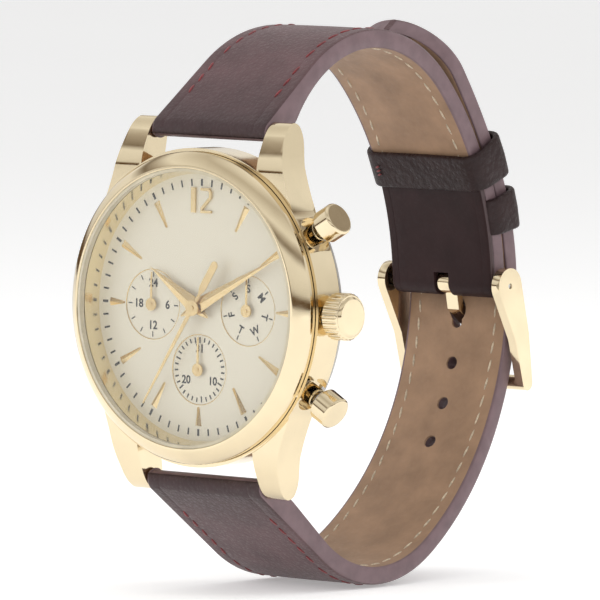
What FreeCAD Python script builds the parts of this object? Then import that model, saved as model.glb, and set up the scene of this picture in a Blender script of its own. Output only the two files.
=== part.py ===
import FreeCAD, Part
import math
import os

import Sketcher
from FreeCAD import Placement, Rotation, Vector

# Multi-function quartz wristwatch, fastened as it is worn.
# Frame: +X to 3 o'clock (the crown), +Z to 12 o'clock, the dial faces -Y.
# The origin is the centre of the case back's outer face.
# Millimetres. "height" is measured from the dial's face towards the crystal,
# "depth" from the dial's face towards the wrist.

# ------------------------------------------------------------------ driving dimensions

DIMENSIONS = {
    "Case": {
        "dial_depth": 5.6,
        "nil": 0.0,
        "bore_radius": 18.4,
        "case_radius": 21.0,
        "case_rim_inner": 20.6,
        "case_rim_top": 0.95,
        "case_front": 0.77,
        "case_rear": -3.94,
        "case_rear_edge": -3.5,
        "case_rear_radius": 20.7,
        "bezel_seat_radius": 19.45,
        "bezel_seat_height": 0.1,
    },
    "Lugs": {
        "lug_gap_half": 9.95,
        "lug_tip": 24.6,
        "strap_bar_up": 23.4,
        "strap_bar_depth": 2.55,
        "strap_bar_radius": 0.75,
        "strap_bar_pivot": 0.4,
        "strap_bar_reach": 11.2,
        "bar_socket_radius": 0.45,
        "bar_socket_reach": 11.4,
    },
    "Bezel and glass": {
        "bezel_bottom": 1.0,
        "bezel_top": 3.6,
        "bezel_lip": 18.75,
        "bezel_crown": 19.7,
        "bezel_crown_height": 3.0,
        "bezel_edge": 20.35,
        "bezel_edge_height": 2.25,
        "bezel_radius": 20.54,
        "bezel_wall_height": 1.94,
        "bezel_skirt_outer": 19.4,
        "bezel_skirt_inner": 18.9,
        "bezel_skirt_bottom": 0.15,
        "glass_radius": 18.0,
        "glass_bottom": 2.6,
        "glass_top": 4.1,
        "glass_bevel": 0.2,
        "gasket_outer": 18.38,
        "gasket_bottom": 2.6,
        "gasket_top": 3.5,
        "rehaut_foot": 17.6,
        "rehaut_lip": 18.0,
        "rehaut_outer": 18.35,
        "rehaut_top": 2.45,
    },
    "Case back": {
        "back_face": -5.6,
        "back_face_radius": 19.4,
        "back_edge_radius": 20.2,
        "back_edge": -4.9,
        "back_skirt_outer": 18.36,
        "back_skirt_inner": 17.5,
        "back_skirt_top": -3.3,
        "back_groove_radius": 18.02,
        "back_groove_low": -3.8,
        "back_groove_high": -3.4,
        "back_inside": -4.72,
    },
    "Dial": {
        "dial_radius": 18.3,
        "dial_under": -0.4,
        "dial_hole": 0.95,
        "counter_hole": 0.42,
        "counter_radius": 4.65,
        "counter_recess": 0.08,
        "counter_across": 8.2,
        "counter_down": 8.2,
        "marker_outer": 15.6,
        "marker_inner": 11.8,
        "marker_inner_short": 13.1,
        "marker_width": 1.1,
        "marker_tip_width": 0.3,
        "marker_thickness": 0.32,
        "numeral_low": 12.45,
        "numeral_high": 15.75,
        "numeral_stroke": 0.36,
        "numeral_width": 1.85,
    },
    "Hands": {
        "hand_thickness": 0.12,
        "hour_hand_height": 0.75,
        "hour_hand_length": 9.64,
        "hour_hand_width": 2.3,
        "hour_hand_tail": 2.3,
        "hour_hand_clock_angle": 301.7,
        "minute_hand_height": 1.15,
        "minute_hand_length": 16.2,
        "minute_hand_width": 1.9,
        "minute_hand_tail": 2.6,
        "minute_hand_clock_angle": 62.7,
        "seconds_hand_height": 1.55,
        "seconds_hand_length": 15.4,
        "seconds_hand_width": 0.62,
        "seconds_hand_tip_width": 0.22,
        "seconds_paddle_length": 7.4,
        "seconds_paddle_width": 1.1,
        "seconds_hand_clock_angle": 212.6,
        "hub_radius": 1.05,
        "counter_hand_height": 0.3,
        "counter_hand_length": 4.3,
        "counter_hand_width": 0.36,
        "counter_hub_radius": 0.85,
    },
    "Movement": {
        "holder_inner": 14.6,
        "holder_outer": 18.35,
        "holder_top": -0.42,
        "holder_bottom": -3.2,
        "plate_radius": 14.5,
        "plate_top": -0.95,
        "plate_bottom": -2.35,
        "bridge_top": -3.6,
        "bridge_bottom": -4.0,
        "bridge_radius": 5.9,
        "bridge_across": -0.5,
        "pillar_radius": 0.55,
        "screw_head_radius": 0.85,
        "screw_head_height": 0.35,
        "pivot_radius": 0.12,
        "pivot_clearance": 0.04,
        "battery_radius": 3.95,
        "battery_across": 6.9,
        "battery_up": 7.2,
        "battery_top": -2.4,
        "battery_bottom": -4.5,
        "board_thickness": 0.3,
    },
    "Gear train": {
        "train_module": 0.085,
        "centre_module": 0.0802,
        "rotor_module": 0.08,
        "step_module": 0.118,
        "motion_module": 0.1,
        "hour_module": 0.096,
        "date_star_module": 0.13,
        "arbor_radius": 0.16,
        "cannon_bore": 0.2,
        "cannon_radius": 0.44,
        "hour_pipe_bore": 0.49,
        "hour_pipe_radius": 0.74,
        "rotor_radius": 0.9,
    },
    "Crown and stem": {
        "stem_height": -1.6,
        "stem_radius": 0.45,
        "stem_start": 5.0,
        "stem_end": 24.2,
        "stem_square": 0.5,
        "stem_groove_across": 10.3,
        "stem_groove_width": 0.5,
        "stem_groove_radius": 0.25,
        "stem_hole_radius": 0.5,
        "crown_start": 21.7,
        "crown_end": 24.35,
        "crown_disc_end": 24.7,
        "crown_radius": 3.1,
        "crown_disc_radius": 2.55,
        "crown_bore": 1.45,
        "crown_bore_depth": 23.4,
        "crown_flutes": 28.0,
        "crown_flute_radius": 0.2,
        "tube_outer": 1.3,
        "tube_inner": 0.52,
        "tube_start": 18.5,
        "tube_end": 22.2,
        "clutch_radius": 0.7,
        "clutch_start": 5.4,
        "clutch_length": 1.4,
        "lever_arm": 2.2,
        "lever_swing": 13.13,
        "lever_pin_radius": 0.2,
    },
    "Pushers": {
        "pusher_angle": 30.0,
        "pusher_end": 25.6,
        "pusher_cap_start": 23.0,
        "pusher_cap_radius": 2.25,
        "pusher_cap_bore": 1.75,
        "pusher_cap_floor": 25.0,
        "pusher_cap_bevel": 0.25,
        "pusher_stem_radius": 0.7,
        "pusher_stem_start": 17.4,
        "pusher_tube_outer": 1.35,
        "pusher_tube_inner": 0.75,
        "pusher_tube_start": 18.4,
        "pusher_tube_end": 21.9,
        "pusher_pocket_radius": 2.45,
        "pusher_pocket_floor": 19.9,
        "pusher_spring_radius": 1.25,
        "pusher_spring_wire": 0.14,
        "pusher_spring_turns": 5.0,
    },
    "Strap": {
        "strap_fold_radius": 1.55,
        "strap_half_width": 9.8,
        "strap_crest_half_width": 8.85,
        "strap_base_half_width": 9.5,
        "strap_buckle_half_width": 8.6,
        "tail_half_width": 8.5,
        "tail_tip_length": 7.5,
        "crest_depth": 25.0,
        "buckle_depth": 52.0,
        "lining_thickness": 1.0,
        "strap_thickness": 2.5,
        "tail_thickness": 2.4,
        "short_start_depth": 7.58,
        "short_start_up": 24.35,
        "short_heading": 59.2,
        "short_crest_radius": 19.7,
        "short_crest_turn": 104.8,
        "short_side_radius": 40.8,
        "short_side_turn": 40.5,
        "long_start_depth": 8.01,
        "long_start_up": -25.24,
        "long_heading": -39.6,
        "long_run": 8.96,
        "long_base_radius": 18.4,
        "long_base_turn": 72.7,
        "long_side_radius": 38.0,
        "long_side_turn": 84.0,
        "tail_ease_radius": 92.0,
        "tail_ease_turn": 9.65,
        "tail_crest_radius": 400.0,
        "tail_crest_turn": 1.0,
        "flap_thickness": 0.9,
        "flap_length": 12.2,
        "stack_thickness": 3.2,
        "hole_radius": 0.9,
        "hole_pitch": 5.7,
        "hole_first": 5.4,
        "keeper_thickness": 0.9,
        "keeper_gap": 0.2,
        "free_keeper_turn": 19.4,
        "free_keeper_stack": 5.75,
        "fixed_keeper_turn": 29.1,
        "fixed_keeper_stack": 6.1,
        "free_keeper_width": 5.2,
        "fixed_keeper_width": 4.8,
    },
    "Buckle": {
        "buckle_depth_centre": 51.95,
        "buckle_up": 1.3,
        "buckle_bar_radius": 0.75,
        "buckle_bar_reach": 10.4,
        "buckle_pivot_radius": 0.35,
        "buckle_fold_radius": 1.7,
        "frame_inner": 9.3,
        "frame_outer": 10.6,
        "frame_eye_radius": 2.45,
        "frame_knee_depth": 54.7,
        "frame_knee_up": -5.5,
        "frame_knee_radius": 1.5,
        "crossbar_depth": 56.1,
        "crossbar_up": -12.0,
        "crossbar_radius": 1.0,
        "tongue_width": 2.0,
        "tongue_eye_radius": 1.45,
        "tongue_bore": 0.8,
        "tongue_slot": 1.3,
    },
}

doc = FreeCAD.newDocument("Chronograph")
sheet = doc.addObject("Spreadsheet::Sheet", "Dims")


def fill_sheet():
    """One row per dimension: its name in column A, its value in column B."""
    row = 1
    for title, group in DIMENSIONS.items():
        sheet.set(f"A{row}", title)
        row += 1
        for alias, value in group.items():
            sheet.set(f"A{row}", alias)
            sheet.set(f"B{row}", str(value))
            sheet.setAlias(f"B{row}", alias)
            row += 1
    doc.recompute()


fill_sheet()


def dim(alias):
    """A driving dimension, read back from the sheet."""
    return float(sheet.get(alias))


nodes = {}
HEAD_TURN = Rotation(Vector(1, 0, 0), 90)


def head_place(across=0.0, up=0.0):
    """Local Z becomes height above the dial, local Y becomes up."""
    return Placement(Vector(across, -dim("dial_depth"), up), HEAD_TURN)


def keep(label, obj):
    """Name a finished sub-part: its label is its node name."""
    obj.Label = label
    nodes[label] = obj
    return obj


def formula(text):
    """A sheet formula, with its aliases qualified."""
    words = text.replace("(", "( ").replace(")", " )").split()
    return " ".join(w if w[0] in "0123456789.+-*/()" else "Dims." + w for w in words)


# ------------------------------------------------------------------ ways of making a piece


def turned(label, corners, placement=None):
    """A PartDesign body turned about its own Z from (radius, height) corners."""
    body = doc.addObject("PartDesign::Body", label)
    sketch = body.newObject("Sketcher::SketchObject", label + "_profile")
    plane = [o for o in body.Origin.OriginFeatures if o.Role == "XZ_Plane"][0]
    sketch.AttachmentSupport = [(plane, "")]
    sketch.MapMode = "FlatFace"
    count = len(corners)
    start = [Vector(10 + i, i * i, 0) for i in range(count)]
    for i in range(count):
        sketch.addGeometry(Part.LineSegment(start[i], start[(i + 1) % count]), False)
    for i in range(count):
        sketch.addConstraint(Sketcher.Constraint("Coincident", i, 2, (i + 1) % count, 1))
    for i, (radius, height) in enumerate(corners):
        for kind, text, value in (
            ("DistanceX", radius, start[i].x),
            ("DistanceY", height, start[i].y),
        ):
            index = sketch.addConstraint(Sketcher.Constraint(kind, -1, 1, i, 1, value))
            sketch.setExpression(f"Constraints[{index}]", formula(text))
    turn = body.newObject("PartDesign::Revolution", label + "_turn")
    turn.Profile = sketch
    turn.ReferenceAxis = (sketch, ["V_Axis"])
    turn.Angle = 360
    body.Placement = placement or head_place()
    return body


def bind_base(obj, across, depth, up):
    """Bind a primitive's place to the sheet; depth is measured from the dial."""
    obj.setExpression("Placement.Base.x", formula(across))
    obj.setExpression("Placement.Base.y", formula(depth + " - dial_depth"))
    obj.setExpression("Placement.Base.z", formula(up))


def disc(radius, low, high, across="nil", up="nil"):
    """A round solid between two heights over the dial."""
    obj = doc.addObject("Part::Cylinder", "Disc")
    obj.setExpression("Radius", formula(radius))
    obj.setExpression("Height", formula(f"( {high} ) - ( {low} )"))
    obj.Placement = Placement(Vector(), HEAD_TURN)
    bind_base(obj, across, f"nil - ( {low} )", up)
    return obj


def rod(radius, start, end, depth="nil - stem_height", up="nil"):
    """A round solid along X between two stations."""
    obj = doc.addObject("Part::Cylinder", "Rod")
    obj.setExpression("Radius", formula(radius))
    obj.setExpression("Height", formula(f"( {end} ) - ( {start} )"))
    obj.Placement = Placement(Vector(), Rotation(Vector(0, 1, 0), 90))
    bind_base(obj, start, depth, up)
    return obj


def block(across, up, heights):
    """A box from (low, high) pairs of formulas."""
    obj = doc.addObject("Part::Box", "Block")
    obj.setExpression("Length", formula(f"( {across[1]} ) - ( {across[0]} )"))
    obj.setExpression("Width", formula(f"( {heights[1]} ) - ( {heights[0]} )"))
    obj.setExpression("Height", formula(f"( {up[1]} ) - ( {up[0]} )"))
    bind_base(obj, across[0], f"nil - ( {heights[1]} )", up[0])
    return obj


def cut(base, tools):
    """Base with every tool taken away."""
    for tool in tools:
        result = doc.addObject("Part::Cut", "Cut")
        result.Base = base
        result.Tool = tool
        base = result
    return base


def fuse(shapes):
    result = doc.addObject("Part::MultiFuse", "Union")
    result.Shapes = shapes
    return result


def feature(label, shape, placement=None):
    """A shape made with Part's own functions, as a document object."""
    obj = doc.addObject("Part::Feature", label)
    obj.Shape = shape
    obj.Placement = placement or Placement()
    return obj


def face_of(points):
    """A flat face from points taken in order."""
    wire = Part.makePolygon([*points, points[0]])
    return Part.Face(wire)


def prism(points, low, high):
    """A solid from a plan outline of (across, up) points, between two heights."""
    face = face_of([Vector(x, y, low) for x, y in points])
    return face.extrude(Vector(0, 0, high - low))


def ring_disc(radius, bore, low, high, across=0.0, up=0.0):
    """A plain washer or pipe in watch coordinates, as a shape."""
    base = Vector(across, up, low)
    solid = Part.makeCylinder(radius, high - low, base)
    if bore:
        solid = solid.cut(Part.makeCylinder(bore, high - low, base))
    return solid


def joined(shapes):
    """One solid from overlapping or touching shapes."""
    result = shapes[0].fuse(shapes[1:]) if len(shapes) > 1 else shapes[0]
    return result.removeSplitter()


# ------------------------------------------------------------------ case, bezel and crystal


def side_outline(points, width_low, width_high):
    """A prism along X from (depth, up) points."""
    back = dim("dial_depth")
    face = face_of([Vector(width_low, depth - back, up) for depth, up in points])
    return face.extrude(Vector(width_high - width_low, 0, 0))


LUG_FRONT = [(-0.78, 18.2), (-0.45, 20.0), (0.35, 22.0), (1.25, 23.6), (2.5, 24.6)]
LUG_REAR = [(4.1, 24.1), (4.45, 22.8), (4.3, 21.0), (3.94, 19.0)]
LUG_FLANK = [(17.5, 10.6), (16.2, 13.4), (15.0, 16.5), (13.95, 20.3), (13.45, 23.0), (13.1, 24.8)]


def smooth(points):
    """A smooth edge through the given points."""
    curve = Part.BSplineCurve()
    curve.interpolate(points)
    return curve.toShape()


def outline_face(points, curves):
    """A flat face bounded by curves in order, closed by straight runs through the points."""
    edges = list(curves)
    ends = [end_of([curves[-1]]), *points, start_of([curves[0]])]
    edges += [Part.LineSegment(a, b).toShape() for a, b in zip(ends, ends[1:])]
    return Part.Face(Part.Wire(Part.__sortEdges__(edges)))


def lug_shape():
    """One lug, on the 12 o'clock side by 3 o'clock: side view and plan view combined."""
    back = dim("dial_depth")
    low = dim("lug_gap_half")
    front = smooth([Vector(low, depth - back, up) for depth, up in LUG_FRONT])
    rear = smooth([Vector(low, depth - back, up) for depth, up in LUG_REAR])
    tip = Part.Arc(
        end_of([front]), Vector(low, 3.5 - back, dim("lug_tip")), start_of([rear])
    ).toShape()
    roots = [Vector(low, 3.94 - back, 11.0), Vector(low, -0.78 - back, 11.0)]
    side = outline_face(roots, [front, tip, rear]).extrude(Vector(9, 0, 0))
    flank = smooth([Vector(x, -10, up) for x, up in LUG_FLANK])
    inner = [Vector(low, -10, 24.8), Vector(low, -10, 10.6)]
    plan = outline_face(inner, [flank]).extrude(Vector(0, 20, 0))
    return side.common(plan)


def radial_rod(radius, start, end, angle, label):
    """A round solid along a pusher's axis, between two distances from the centre."""
    obj = doc.addObject("Part::Cylinder", label)
    obj.setExpression("Radius", formula(radius))
    obj.setExpression("Height", formula(f"{end} - {start}"))
    place = pusher_place(angle)
    obj.Placement = place.multiply(Placement(Vector(0, 0, dim(start)), Rotation()))
    return obj


def pusher_place(angle):
    """Local Z runs outwards along a pusher's axis, from the watch's centre."""
    base = Vector(0, -dim("dial_depth") - dim("stem_height"), 0)
    turn = Rotation(Vector(0, 1, 0), 90 - angle)
    return Placement(base, turn)


PUSHER_SIDES = {"upper": 1, "lower": -1}


def make_mid_case():
    ring = turned(
        "mid_case_ring",
        [
            ("bore_radius", "case_rear"),
            ("bore_radius", "bezel_seat_height"),
            ("bezel_seat_radius", "bezel_seat_height"),
            ("bezel_seat_radius", "case_front"),
            ("case_rim_inner", "case_front"),
            ("case_rim_inner", "case_rim_top"),
            ("case_radius", "case_rim_top"),
            ("case_radius", "case_rear_edge"),
            ("case_rear_radius", "case_rear"),
        ],
    )
    lug = lug_shape()
    lugs = [lug]
    lugs.append(lug.mirror(Vector(), Vector(1, 0, 0)))
    lugs += [piece.mirror(Vector(), Vector(0, 0, 1)) for piece in list(lugs)]
    lug_group = feature("Lugs", Part.makeCompound(lugs))
    inside = disc("bezel_seat_radius", "case_rear - 1", "case_front + 1")
    outside_lugs = cut(lug_group, [inside])
    holes = [rod("tube_outer", "tube_start - 1", "case_radius + 1")]
    for side in PUSHER_SIDES.values():
        angle = side * dim("pusher_angle")
        holes.append(radial_rod("pusher_tube_outer", "pusher_stem_start", "pusher_end", angle, "Bore"))
        holes.append(
            radial_rod("pusher_pocket_radius", "pusher_pocket_floor", "pusher_end", angle, "Pocket")
        )
    for side in ("strap_bar_up", "nil - strap_bar_up"):
        holes.append(
            rod(
                "bar_socket_radius",
                "nil - bar_socket_reach",
                "bar_socket_reach",
                "strap_bar_depth",
                side,
            )
        )
    keep("mid_case", cut(fuse([ring, outside_lugs]), holes))


def make_bezel_and_glass():
    keep(
        "bezel",
        turned(
            "bezel_body",
            [
                ("bore_radius", "bezel_bottom"),
                ("bore_radius", "bezel_top"),
                ("bezel_lip", "bezel_top"),
                ("bezel_crown", "bezel_crown_height"),
                ("bezel_edge", "bezel_edge_height"),
                ("bezel_radius", "bezel_wall_height"),
                ("bezel_radius", "bezel_bottom"),
                ("bezel_skirt_outer", "bezel_bottom"),
                ("bezel_skirt_outer", "bezel_skirt_bottom"),
                ("bezel_skirt_inner", "bezel_skirt_bottom"),
                ("bezel_skirt_inner", "bezel_bottom"),
            ],
        ),
    )
    keep(
        "crystal",
        turned(
            "crystal_body",
            [
                ("nil", "glass_bottom"),
                ("glass_radius", "glass_bottom"),
                ("glass_radius", "glass_top - glass_bevel"),
                ("glass_radius - glass_bevel", "glass_top"),
                ("nil", "glass_top"),
            ],
        ),
    )
    keep(
        "crystal_gasket",
        cut(
            disc("gasket_outer", "gasket_bottom", "gasket_top"),
            [disc("glass_radius", "gasket_bottom - 1", "gasket_top + 1")],
        ),
    )
    keep(
        "rehaut_ring",
        turned(
            "rehaut_body",
            [
                ("rehaut_foot", "nil"),
                ("rehaut_lip", "rehaut_top"),
                ("rehaut_outer", "rehaut_top"),
                ("rehaut_outer", "nil"),
            ],
        ),
    )


def make_case_back():
    keep(
        "case_back",
        turned(
            "case_back_body",
            [
                ("nil", "back_face"),
                ("back_face_radius", "back_face"),
                ("back_edge_radius", "back_edge"),
                ("back_edge_radius", "case_rear"),
                ("back_skirt_outer", "case_rear"),
                ("back_skirt_outer", "back_groove_low"),
                ("back_groove_radius", "back_groove_low"),
                ("back_groove_radius", "back_groove_high"),
                ("back_skirt_outer", "back_groove_high"),
                ("back_skirt_outer", "back_skirt_top"),
                ("back_skirt_inner", "back_skirt_top"),
                ("back_skirt_inner", "back_inside"),
                ("nil", "back_inside"),
            ],
        ),
    )
    keep(
        "case_back_gasket",
        cut(
            disc("bore_radius", "back_groove_low", "back_groove_high"),
            [disc("back_groove_radius", "back_groove_low - 1", "back_groove_high + 1")],
        ),
    )


# ------------------------------------------------------------------ dial and hands


def counter_centres():
    """Where the three small dials sit, as (name, across, up)."""
    across = dim("counter_across")
    return [
        ("twenty_four_hour", -across, 0.0),
        ("day", across, 0.0),
        ("date", 0.0, -dim("counter_down")),
    ]


def make_dial():
    recesses = []
    for _, across, up in counter_centres():
        place = f"nil + ( {across} )", f"nil + ( {up} )"
        recesses.append(disc("counter_radius", "nil - counter_recess", "nil + 1", *place))
        recesses.append(disc("counter_hole", "dial_under - 1", "nil + 1", *place))
    plate = disc("dial_radius", "dial_under", "nil")
    centre = disc("dial_hole", "dial_under - 1", "nil + 1")
    keep("dial", cut(plate, [centre, *recesses]))


def clock_point(radius, clock_angle, sideways=0.0):
    """(across, up) of a point at a clock angle, and sideways to the clockwise side."""
    turn = math.radians(clock_angle)
    return (
        radius * math.sin(turn) + sideways * math.cos(turn),
        radius * math.cos(turn) - sideways * math.sin(turn),
    )


def marker_shape(clock_angle, inner):
    """A faceted dagger: broad outside, its tip towards the centre, ridged in the middle."""
    half = dim("marker_width") / 2
    tip = dim("marker_tip_width") / 2
    top = dim("marker_thickness")
    outer = dim("marker_outer")
    base = [
        Vector(*clock_point(outer, clock_angle, -half), 0),
        Vector(*clock_point(outer, clock_angle, half), 0),
        Vector(*clock_point(inner, clock_angle, tip), 0),
        Vector(*clock_point(inner, clock_angle, -tip), 0),
    ]
    ridge = [
        Vector(*clock_point(outer - 0.15, clock_angle), top),
        Vector(*clock_point(inner + 0.15, clock_angle), top),
    ]
    faces = [
        face_of(base),
        face_of([base[0], base[1], ridge[0]]),
        face_of([base[1], base[2], ridge[0]]),
        face_of([base[2], ridge[1], ridge[0]]),
        face_of([base[2], base[3], ridge[1]]),
        face_of([base[3], ridge[0], ridge[1]]),
        face_of([base[3], base[0], ridge[0]]),
    ]
    return Part.Solid(Part.Shell(faces))


SHORT_MARKERS = (3, 6, 9)


def make_markers():
    markers = []
    for hour in range(1, 12):
        inner = dim("marker_inner_short") if hour in SHORT_MARKERS else dim("marker_inner")
        markers.append(marker_shape(hour * 30.0, inner))
    keep("hour_markers", feature("Markers", Part.makeCompound(markers), head_place()))


def bar_shape(start, end, width, thickness):
    """A flat bar between two plan points."""
    along = Vector(end[0] - start[0], end[1] - start[1], 0)
    along.normalize()
    side = Vector(-along.y, along.x, 0) * (width / 2)
    first = Vector(*start, 0)
    last = Vector(*end, 0)
    corners = [first - side, last - side, last + side, first + side]
    return face_of(corners).extrude(Vector(0, 0, thickness))


def make_numeral():
    """The applied 12: a straight stem and an open-cornered two."""
    low = dim("numeral_low")
    high = dim("numeral_high")
    stroke = dim("numeral_stroke")
    thickness = dim("marker_thickness")
    wide = dim("numeral_width")
    left = 0.0
    right = left + wide
    middle = (low + high) / 2
    stem = bar_shape((-1.25, low), (-1.25, high), stroke * 2, thickness)
    two = [
        ((left, high - stroke / 2), (right - 0.4, high - stroke / 2)),
        ((right - 0.55, high - 0.1), (right - 0.1, high - 0.6)),
        ((right - stroke / 2, high - 0.45), (right - stroke / 2, middle + 0.35)),
        ((right - 0.1, middle + 0.5), (left + 0.1, low + 0.45)),
        ((left, low + stroke / 2), (right, low + stroke / 2)),
    ]
    figure = joined([bar_shape(start, end, stroke, thickness) for start, end in two])
    keep("numeral_twelve", feature("Numeral", Part.makeCompound([stem, figure]), head_place()))


def faceted_hand(length, width, tail, clock_angle, height):
    """A dauphine blade: a ridged kite whose widest place is at its hub."""
    half = width / 2
    thick = dim("hand_thickness")
    shoulder = 0.9
    plan = [
        clock_point(length, clock_angle),
        clock_point(shoulder, clock_angle, half),
        clock_point(-tail, clock_angle, 0.12),
        clock_point(-tail, clock_angle, -0.12),
        clock_point(shoulder, clock_angle, -half),
    ]
    blade = prism(plan, height, height + thick / 2)
    top = height + thick / 2
    peak = Vector(*clock_point(shoulder, clock_angle), height + 2 * thick)
    corners = [Vector(*point, top) for point in plan]
    corners[2:4] = [Vector(*clock_point(-tail, clock_angle), top)]
    faces = [face_of(corners)]
    for i in range(4):
        faces.append(face_of([corners[i], corners[(i + 1) % 4], peak]))
    return blade.fuse(Part.Solid(Part.Shell(faces))).removeSplitter()


def make_main_hands():
    hour = faceted_hand(
        dim("hour_hand_length"),
        dim("hour_hand_width"),
        dim("hour_hand_tail"),
        dim("hour_hand_clock_angle"),
        dim("hour_hand_height"),
    )
    hour_hole = ring_disc(dim("hour_pipe_radius"), 0, 0, 3)
    keep("hour_hand", feature("HourHand", hour.cut(hour_hole), head_place()))
    minute = faceted_hand(
        dim("minute_hand_length"),
        dim("minute_hand_width"),
        dim("minute_hand_tail"),
        dim("minute_hand_clock_angle"),
        dim("minute_hand_height"),
    )
    minute_hole = ring_disc(dim("cannon_radius"), 0, 0, 3)
    keep("minute_hand", feature("MinuteHand", minute.cut(minute_hole), head_place()))
    keep("seconds_hand", feature("SecondsHand", seconds_hand_shape(), head_place()))


def seconds_hand_shape():
    """A thin needle with a broad rounded paddle as its counterweight."""
    angle = dim("seconds_hand_clock_angle")
    low = dim("seconds_hand_height")
    high = low + dim("hand_thickness")
    tip = dim("seconds_hand_tip_width") / 2
    half = dim("seconds_hand_width") / 2
    paddle = dim("seconds_paddle_width") / 2
    reach = dim("seconds_paddle_length") - paddle
    needle = [
        clock_point(dim("seconds_hand_length"), angle, -tip),
        clock_point(dim("seconds_hand_length"), angle, tip),
        clock_point(0, angle, half),
        clock_point(-2.2, angle, half * 0.6),
        clock_point(-3.2, angle, paddle),
        clock_point(-reach, angle, paddle),
        clock_point(-reach, angle, -paddle),
        clock_point(-3.2, angle, -paddle),
        clock_point(-2.2, angle, -half * 0.6),
        clock_point(0, angle, -half),
    ]
    end = clock_point(-reach, angle)
    rounded = ring_disc(paddle, 0, low, high, *end)
    boss = ring_disc(dim("hub_radius"), 0, low, high + 0.1)
    pin = ring_disc(0.32, 0, high + 0.1, high + 0.22)
    whole = joined([prism(needle, low, high), rounded, boss, pin])
    return whole.cut(ring_disc(dim("arbor_radius"), 0, low - 1, low + dim("hand_thickness")))


def counter_hand_shape():
    """A small stick hand on a round boss, pointing to 12."""
    low = dim("counter_hand_height")
    high = low + dim("hand_thickness")
    half = dim("counter_hand_width") / 2
    reach = dim("counter_hand_length")
    stick = [(-half, 0), (half, 0), (half * 0.6, reach), (-half * 0.6, reach)]
    boss = ring_disc(dim("counter_hub_radius"), 0, low, high + 0.06)
    pin = ring_disc(0.26, 0, high + 0.06, high + 0.16)
    whole = joined([prism(stick, low, high), boss, pin])
    return whole.cut(ring_disc(dim("arbor_radius"), 0, low - 1, low + 0.1))


def make_counter_hands():
    for name, across, up in counter_centres():
        keep(name + "_hand", feature(name, counter_hand_shape(), head_place(across, up)))


# ------------------------------------------------------------------ gear train


def gear_outline(teeth, module, phase):
    """Trapezoid teeth about the origin; phase is the angle of one tooth's middle, in degrees."""
    pitch = 2 * math.pi / teeth
    radius = teeth * module / 2
    tip = radius + 0.8 * module
    root = radius - 1.15 * module
    points = []
    for tooth in range(teeth):
        middle = math.radians(phase) + tooth * pitch
        for r, share in ((root, -0.27), (tip, -0.11), (tip, 0.11), (root, 0.27)):
            angle = middle + share * pitch
            points.append((r * math.cos(angle), r * math.sin(angle)))
    return points


def gear(teeth, module, low, high, phase=0.0, bore=0.0):
    solid = prism(gear_outline(teeth, module, phase), low, high)
    if bore:
        solid = solid.cut(ring_disc(bore, 0, low - 1, high + 1))
    return solid


def meshed_phase(driver, driver_teeth, driver_phase, follower, follower_teeth):
    """The follower's phase that puts its gap where the driver's tooth meets it."""
    heading = math.degrees(math.atan2(follower[1] - driver[1], follower[0] - driver[0]))
    pitch = 360.0 / driver_teeth
    offset = (driver_phase - heading + pitch / 2) % pitch - pitch / 2
    gap = heading + 180 - offset * driver_teeth / follower_teeth
    return gap + 180.0 / follower_teeth


THIRD_TEETH, THIRD_PINION = 60, 8
SECONDS_TEETH, SECONDS_PINION = 40, 8
CENTRE_TEETH, CANNON_TEETH = 64, 12
STEP_TEETH, STEP_PINION = 48, 8
ROTOR_PINION = 8
MINUTE_WORK_TEETH, MINUTE_WORK_PINION = 36, 10
HOUR_TEETH = 40
IDLER_TEETH = 26
DAY_WHEEL_TEETH = 80
DATE_STAR_TEETH = 31
WEEK_STAR_TEETH = 14

CENTRE = (0.0, 0.0)


def polar(origin, distance, angle):
    turn = math.radians(angle)
    return origin[0] + distance * math.cos(turn), origin[1] + distance * math.sin(turn)


def train_places():
    """Each arbor's (across, up), from the tooth counts and modules."""
    third = polar(CENTRE, (SECONDS_PINION + THIRD_TEETH) * dim("train_module") / 2, 90)
    step = polar(CENTRE, (STEP_PINION + SECONDS_TEETH) * dim("step_module") / 2, 222)
    rotor = polar(step, (ROTOR_PINION + STEP_TEETH) * dim("rotor_module") / 2, 240)
    minute_work = polar(CENTRE, (CANNON_TEETH + MINUTE_WORK_TEETH) * dim("motion_module") / 2, -60)
    near = (HOUR_TEETH + IDLER_TEETH) * dim("hour_module") / 2
    far = (IDLER_TEETH + DAY_WHEEL_TEETH) * dim("hour_module") / 2
    span = dim("counter_across")
    along = (near**2 - far**2 + span**2) / (2 * span)
    aside = math.sqrt(near**2 - along**2)
    return {
        "third": third,
        "step": step,
        "rotor": rotor,
        "minute_work": minute_work,
        "idler": (-along, aside),
        "day_wheel": (-span, 0.0),
    }


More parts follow.
